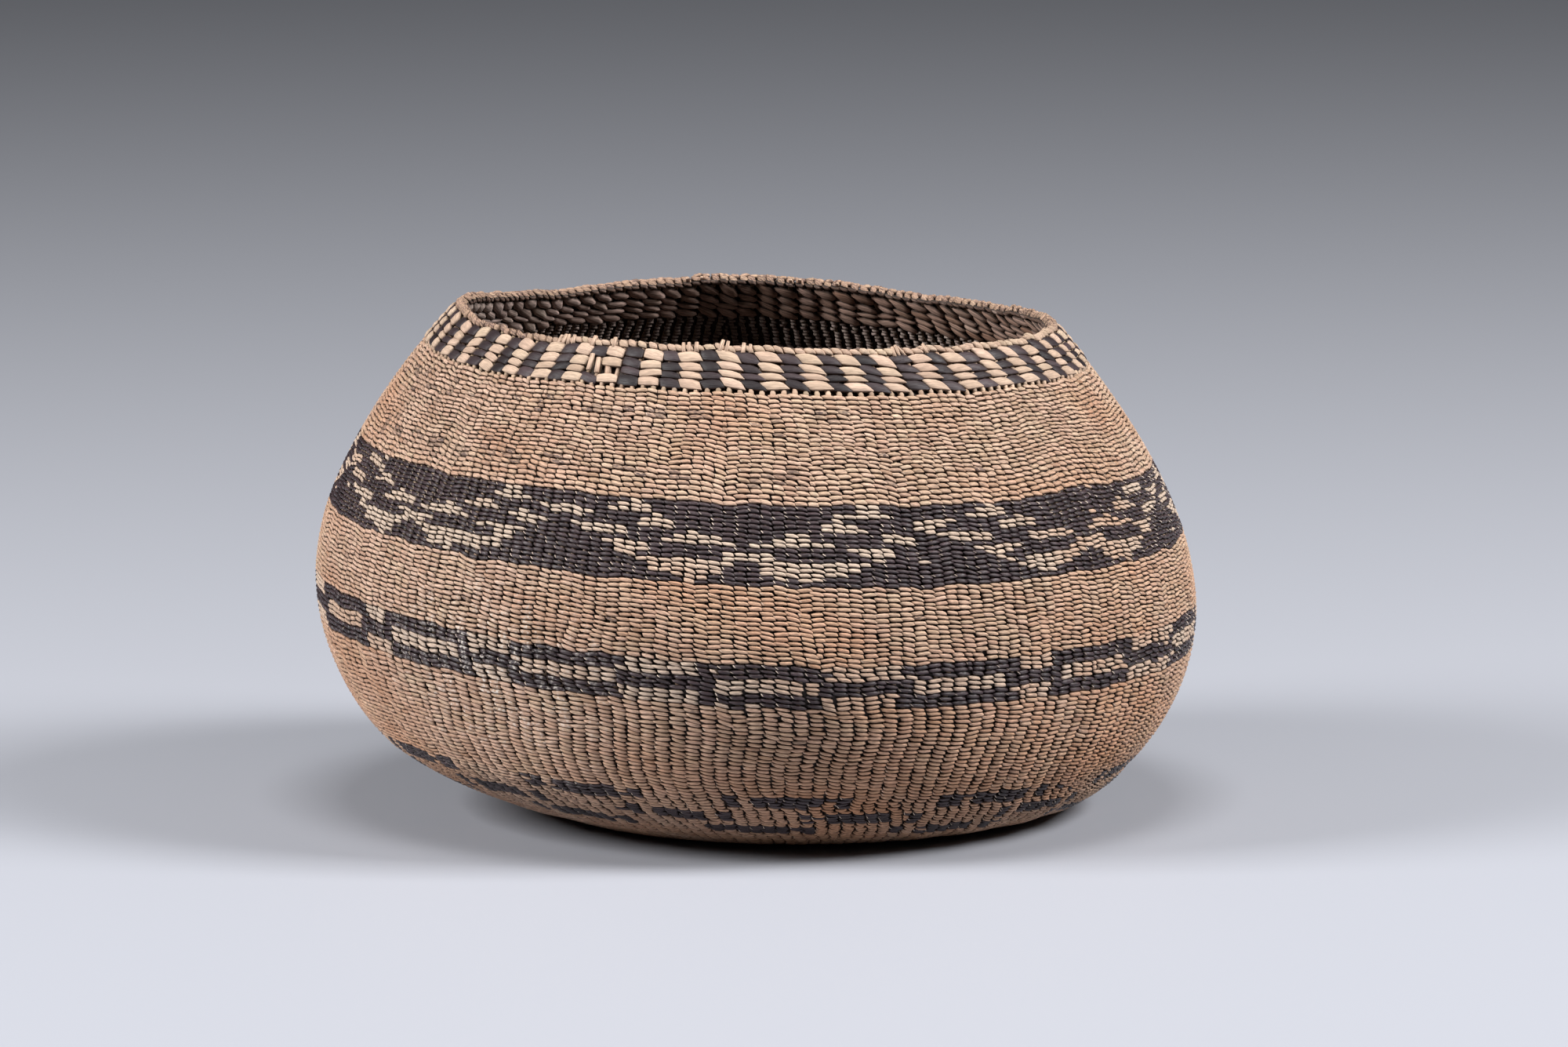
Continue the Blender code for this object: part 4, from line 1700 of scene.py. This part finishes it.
def rod_lines():
    """A mesh of lines, one for each warp, with the looks of bare wood. Bare rods swell out."""
    nearest = np.argmin(np.abs(STATIONS - ROD_STATIONS[:, None]), axis=1)
    depth = WARP_MIDDLE - BARE_LIFT * bump_at(ROD_STATIONS, BARE_MIDDLE, BARE_HALF_HEIGHT)
    spots, edges, number = [], [], []
    for warp in range(MOST_WARPS):
        there = WARP_SHARE[nearest, warp] > 0
        angle = FRONT + 2 * math.pi * WARP_TURN[nearest, warp][there]
        first = len(number)
        spots.append(np.stack([angle, ROD_STATIONS[there], depth[there]], axis=1))
        number += [warp] * len(angle)
        edges += [(i, i + 1) for i in range(first, len(number) - 1)]
    angle, along, deep = np.concatenate(spots).T
    mesh = bpy.data.meshes.new("rod lines")
    mesh.from_pydata(place(angle, along, deep).tolist(), edges, [])
    tones = np.random.default_rng(SEEDS["rods"]).random(MOST_WARPS)
    store(mesh, "tone", tones[number])
    store(mesh, "hue", tones[number[::-1]])
    # The last part of each rod, under the rim's cap, is not raised, so it takes the painted shade of what
    # lies deep in the weave
    store(mesh, "raised", np.where(along < ROD_HIGH_END - ROD_TIP, 1, 0))
    return mesh


rod_inputs = {"Radius": ROD_RADIUS, "Sides": ROD_SIDES, "Finish": WARP_FINISH}
rods = plain_mesh("warp_rods", rod_lines(), rod_tree(), rod_inputs)
rods.data.shade_smooth()
hand_over(rods, "warp", "warps")

# %% [markdown]
# ## Trimmed ends and splints
# Above the rim row the warps were cut off short, and some are still to be seen: stubs, often in
# pairs because the rod has split. In the broken checks some split rods stand bare. All are one blunt
# shape that stands up instead of lying along the row, so the same tree can set them.

# %% Splints
# Its section, across and up, and its rings: place along, share of the full section
SPLINT_SECTION = (
    (0.50, -0.50), (0.46, 0.30), (0.20, 0.50), (-0.26, 0.46), (-0.50, 0.24), (-0.48, -0.50),
)
SPLINT_STOPS = ((-0.50, 1.0), (0.10, 0.97), (0.46, 0.86))
SPLINT_EDGE = 1.2


def splint_shape():
    """A blunt split rod, one unit long, wide and thick."""
    rings = [[(x, y * full, z * full - 0.5) for y, z in SPLINT_SECTION] for x, full in SPLINT_STOPS]
    tips = [(-0.5, 0, -0.5), (0.50, 0.1, -0.4)]
    strand = [(x, SPLINT_EDGE * y, z) for x, _ in SPLINT_STOPS for y, z in SPLINT_SECTION]
    return closed_tube("splint", rings, tips, strand + [(-0.5, 0, 0), (0.5, 0, 0)])


BLUNT_SHAPE = family("splints", splint_shape())
SPLINT_THICKNESS = 0.0011
SPLINT_TONES = (0.5, 1.0)

# Each splint: degrees round from the front, distance of its middle under the rim, depth, width,
# length, lean to the right in degrees
SPLINTS = (
    (-39.9, 0.0014, -0.0004, 0.0014, 0.0040, -2),
    (-38.8, 0.0012, -0.0006, 0.0013, 0.0042, -6),
    (-37.9, 0.0014, -0.0004, 0.0013, 0.0040, -14),
    (-36.7, 0.0015, -0.0004, 0.0015, 0.0038, -10),
    (-31.9, 0.0014, -0.0005, 0.0017, 0.0040, -6),
    (-27.4, 0.0016, -0.0004, 0.0015, 0.0038, -10),
    (-13.6, 0.0013, -0.0004, 0.0013, 0.0040, -5),
    (-12.6, 0.0013, -0.0005, 0.0013, 0.0040, 1),
    (-11.2, 0.0014, -0.0004, 0.0014, 0.0040, 0),
    (-6.5, 0.0010, -0.0005, 0.0014, 0.0046, -3),
    (-5.4, 0.0010, -0.0004, 0.0013, 0.0046, 0),
    (-2.3, 0.0015, -0.0004, 0.0015, 0.0038, 4),
    (-1.0, 0.0016, -0.0004, 0.0012, 0.0036, -6),
    (26.4, 0.0015, -0.0004, 0.0011, 0.0040, 10),
    (27.2, 0.0013, -0.0005, 0.0010, 0.0042, -2),
    (28.0, 0.0017, -0.0004, 0.0010, 0.0038, -22),
    (33.4, 0.0015, -0.0004, 0.0014, 0.0036, 2),
    (-166.0, 0.0006, 0.0020, 0.0015, 0.0040, 4),
    (-168.8, 0.0010, 0.0020, 0.0014, 0.0036, -6),
    (173.1, 0.0008, 0.0020, 0.0013, 0.0038, 5),
    (171.4, 0.0006, 0.0020, 0.0015, 0.0040, -3),
    (163.2, 0.0010, 0.0020, 0.0015, 0.0038, -8),
    (-30.4, 0.0104, -0.0010, 0.0019, 0.0060, -12),
    (-28.9, 0.0108, -0.0008, 0.0018, 0.0056, -16),
    (-26.9, 0.0124, 0.0002, 0.0024, 0.0046, -14),
)


def splint_points():
    """The places, sizes and looks of all splints."""
    degrees, below, depth, width, length, lean = np.array(SPLINTS).T
    angle, along = FRONT + np.radians(degrees), WALL_END - below
    size = sizes_of(length, width, SPLINT_THICKNESS)
    tone = np.random.default_rng(SEEDS["splints"]).uniform(*SPLINT_TONES, len(SPLINTS))
    return weave_points(angle, along, depth, size, lean=np.radians(lean), tone=tone)


splints = splint_points()
stubs = woven("trimmed_warp_ends", splints, BLUNT_SHAPE, WARP_FINISH, SEEDS["splints"], SPLINT_UNEVEN)
hand_over(stubs, "warp")

# %% [markdown]
# ## The crossed warps
# In the middle of the base the warps cross in two bundles, one over the other. They are the same
# blunt shape, laid side by side: one bundle shows outside and the other inside.

# %% Crossed warps
CROSSED_WARPS = 7
CROSSED_LENGTH = 0.0100
CROSSED_WIDTH = 0.0013
CROSSED_DEPTH = 0.0004
CROSSED_TONES = (0.2, 0.8)


def crossed_points():
    """Two bundles of warps across the middle of the base."""
    steps = (np.arange(CROSSED_WARPS) - (CROSSED_WARPS - 1) / 2) * CROSSED_WIDTH
    steps = np.concatenate([steps, steps])
    zero = steps * 0
    outside = np.arange(len(steps)) < CROSSED_WARPS
    x = BASE_OFFSET + np.where(outside, 0, steps)
    height = np.where(outside, CROSSED_DEPTH, WALL_THICKNESS - CROSSED_DEPTH)
    points = np.stack([x, np.where(outside, steps, 0), height], axis=1)
    outward = np.stack([zero, zero, np.where(outside, -1, 1)], axis=1)
    across = np.stack([outside * 1.0, ~outside * 1.0, zero], axis=1)
    reach = np.sqrt(np.maximum((CROSSED_LENGTH / 2) ** 2 - steps**2, 0)) * 2
    size = sizes_of(reach, CROSSED_WIDTH, SPLINT_THICKNESS)
    tone = np.random.default_rng(SEEDS["crossed"]).uniform(*CROSSED_TONES, len(steps))
    return points_with(points, outward, across, size, {"tone": tone})


crossed = woven("crossed_warps", crossed_points(), BLUNT_SHAPE, WARP_FINISH, SEEDS["crossed"])
hand_over(crossed, "warp")

# %% [markdown]
# ## The web of crossings
# Between the two faces the strands cross from one to the other beside every warp. They are seen only
# in the slots, in shade, so thousands of crossings would be wasted. One thin closed sheet round the
# whole wall stands for them, and its near-black brown is painted shade.

# %% Web of crossings
WEB_SECTORS = 192
WEB_ROWS = 70
WEB_THICKNESS = 0.0003
WEB_LOW_END = 0.002
WEB_HIGH_END = WALL_END - 0.001


def web_mesh():
    """A thin closed sheet between the two faces of the weave, from the middle of the base to the rim."""
    stations = np.linspace(WEB_LOW_END, WEB_HIGH_END, WEB_ROWS)
    outer = [(along, WARP_MIDDLE) for along in stations]
    inner = [(along, WARP_MIDDLE + WEB_THICKNESS) for along in reversed(stations)]
    profile = np.array(outer + inner)
    count = len(profile)
    angle = np.repeat(np.linspace(0, 2 * math.pi, WEB_SECTORS, endpoint=False), count)
    along, depth = np.tile(profile.T, WEB_SECTORS)
    faces = []
    for sector in range(WEB_SECTORS):
        here, there = sector * count, (sector + 1) % WEB_SECTORS * count
        for i in range(count):
            after = (i + 1) % count
            faces.append((here + i, there + i, there + after, here + after))
    mesh = bpy.data.meshes.new("weft_crossings")
    mesh.from_pydata(place(angle, along, depth).tolist(), [], faces)
    mesh.shade_smooth()
    store(mesh, "tone", 0.5 + 0 * angle)
    # Not raised anywhere, so the whole sheet takes the painted shade of what lies deep in the weave
    store(mesh, "raised", 0 * angle)
    return mesh


# Painted shade: the near-black brown of strands in the shadow of the slots
SHADED = (0.045, 0.022, 0.012), (0.024, 0.012, 0.007)
WEB_FINISH = strand_finish("shaded_crossing_weft", *SHADED, (0.020, 0.010, 0.006))
web = bpy.data.objects.new("weft_crossings", web_mesh())
web.data.materials.append(WEB_FINISH)
bpy.context.scene.collection.objects.link(web)
hand_over(web, "inside_weft")

# %% [markdown]
# ## The inner faces
# Inside, the same rows show their other strand, brown, dry and never covered.

# %% Weave the inner faces
INNER_STRETCHES = (
    ("inner_turn_courses", "turn_course_3"),
    ("inner_lower_band_courses", "lower_band_top_dashes"),
    ("inner_lower_wall_courses", "lower_wall_course_3"),
    ("inner_middle_band_courses", "middle_band_top_bars"),
    ("inner_middle_wall_courses", "middle_wall_course_2"),
    ("inner_upper_band_courses", "upper_band_hanging_triangles"),
    ("inner_shoulder_courses", "shoulder_course_3"),
)
PALER_REACH = 0.08
INNER_FILL = 0.72
INNER_HEIGHT = 1.05

# How much each cause changes the tone, and how much the hue
INNER_TONE = {"middle": 0.25, "near rim": 0.35, "wander": 0.2, "scatter": 0.15}
INNER_HUE = {"middle": 0.4, "scatter": 0.3}


def inner_looks(angle, along, draw):
    """The looks of inner stitches: paler near the rim and darker deeper down, which is partly painted
    shade.
    """
    near_rim = np.clip(1 - (WALL_END - along) / PALER_REACH, 0, 1)
    tone = INNER_TONE["middle"] + INNER_TONE["near rim"] * near_rim
    tone = tone + INNER_TONE["wander"] * waves("inside", angle, along)
    tone = tone + INNER_TONE["scatter"] * draw.normal(size=len(angle))
    hue = INNER_HUE["middle"] + INNER_HUE["scatter"] * draw.normal(size=len(angle))
    return looks_of(tone=tone, hue=hue)


def weave_inner(name, alongs, pitch, seed):
    """One stretch of the inner face: rows at distances along the outline."""
    draw = np.random.default_rng(seed)
    angle, along, width, _ = rows_of_points(alongs, draw)
    size = sizes_of(width * INNER_FILL, pitch * INNER_HEIGHT, INNER_WEFT)
    looks = inner_looks(angle, along, draw)
    points = weave_points(angle, along, along * 0 + WALL_THICKNESS, size, True, **looks)
    piece = woven(name + "_stitches", points, INNER_STITCHES, INSIDE_FINISH, seed, INNER_UNEVEN)
    hand_over(piece, "inside_weft", name)


first = 0
for seed, (name, last_course) in enumerate(INNER_STRETCHES, SEEDS["inner"]):
    last = row_above(last_course)
    weave_inner(name, BASE_RADIUS + (np.arange(first, last) + 0.5) * ROW_PITCH, ROW_PITCH, seed)
    first = last
weave_inner("inner_base_courses", *base_rows(KNOT_RADIUS, BASE_RADIUS), SEEDS["inner base"])

# %% Inner face of the checks and the rim row
BEAD_FILL = 0.88
BEAD_HEIGHT = 0.0019
BEAD_SWELL = 0.0002

inner_parts = []
for row in range(CHECK_ROWS):
    seed = SEEDS["inner checks"] + row
    points = check_points(row, np.random.default_rng(seed), True)
    part = woven(f"inner_check_{row}", points, LEAF_STITCHES, INSIDE_FINISH, seed, RIM_UNEVEN)
    inner_parts.append(part)
bead = BEAD_FILL, BEAD_HEIGHT, INNER_WEFT + BEAD_SWELL, WALL_THICKNESS
points = rim_face(np.random.default_rng(SEEDS["beads"]), *bead, True)
beads = "inner_check_courses_stitches"
inner_parts.append(woven(beads, points, RIM_STITCHES, INSIDE_FINISH, SEEDS["beads"], BEAD_UNEVEN))
hand_over(joined(inner_parts), "inside_weft", "inner_check_courses")

# %% [markdown]
# ## Floor and light
# The basket stands on a plain pale floor. Two soft lights, one on each side and a little in front of
# it, do most of the work. A weaker one above lights the rim and the shoulder, and a faint grey
# surrounding keeps the shadows from going black.

# %% Floor
FLOOR_SIZE = 40.0
FLOOR_COLOUR = (0.35, 0.36, 0.40, 1)
FLOOR_ROUGHNESS = 0.6

bpy.ops.mesh.primitive_plane_add(size=FLOOR_SIZE)
floor = bpy.context.active_object
floor.name = "floor"
floor_finish = bpy.data.materials.new("floor")
floor_finish.use_nodes = True
floor_shader = floor_finish.node_tree.nodes["Principled BSDF"]
floor_shader.inputs["Base Color"].default_value = FLOOR_COLOUR
floor_shader.inputs["Roughness"].default_value = FLOOR_ROUGHNESS
floor.data.materials.append(floor_finish)

# %% Lights
WORLD_GREY = (0.75, 0.78, 0.82, 1)
WORLD_STRENGTH = 0.03

# Each light: its name, its place, the size of its face, its power in watts
LIGHTS = (
    ("left_light", (-2.1, -0.75, 1.4), 1.0, 87),
    ("right_light", (2.1, -0.60, 1.8), 1.0, 114),
    ("top_light", (0.0, -0.7, 2.6), 1.0, 38),
)
world = bpy.data.worlds.new("studio")
world.use_nodes = True
background = world.node_tree.nodes["Background"]
background.inputs["Color"].default_value = WORLD_GREY
background.inputs["Strength"].default_value = WORLD_STRENGTH
bpy.context.scene.world = world
for name, position, size, power in LIGHTS:
    light = bpy.data.lights.new(name, "AREA")
    light.size = size
    light.energy = power
    lamp = bpy.data.objects.new(name, light)
    lamp.location = position
    lamp.rotation_euler = (CAMERA_AIM - lamp.location).to_track_quat("-Z", "Y").to_euler()
    bpy.context.scene.collection.objects.link(lamp)
bpy.context.scene.view_settings.view_transform = "Standard"
print(len(LIGHTS), "lights")

# %% [markdown]
# ## Triangles
# The last cell drops the loose shapes and counts the triangles of the finished basket.

# %% Finish
for shape in list(shapes.objects):
    bpy.data.objects.remove(shape)
shown = [piece for piece in bpy.context.scene.objects if piece.type == "MESH" and not piece.hide_render]
total = sum(triangles_of(piece.data) for piece in shown if piece is not floor)
print(total, "triangles")
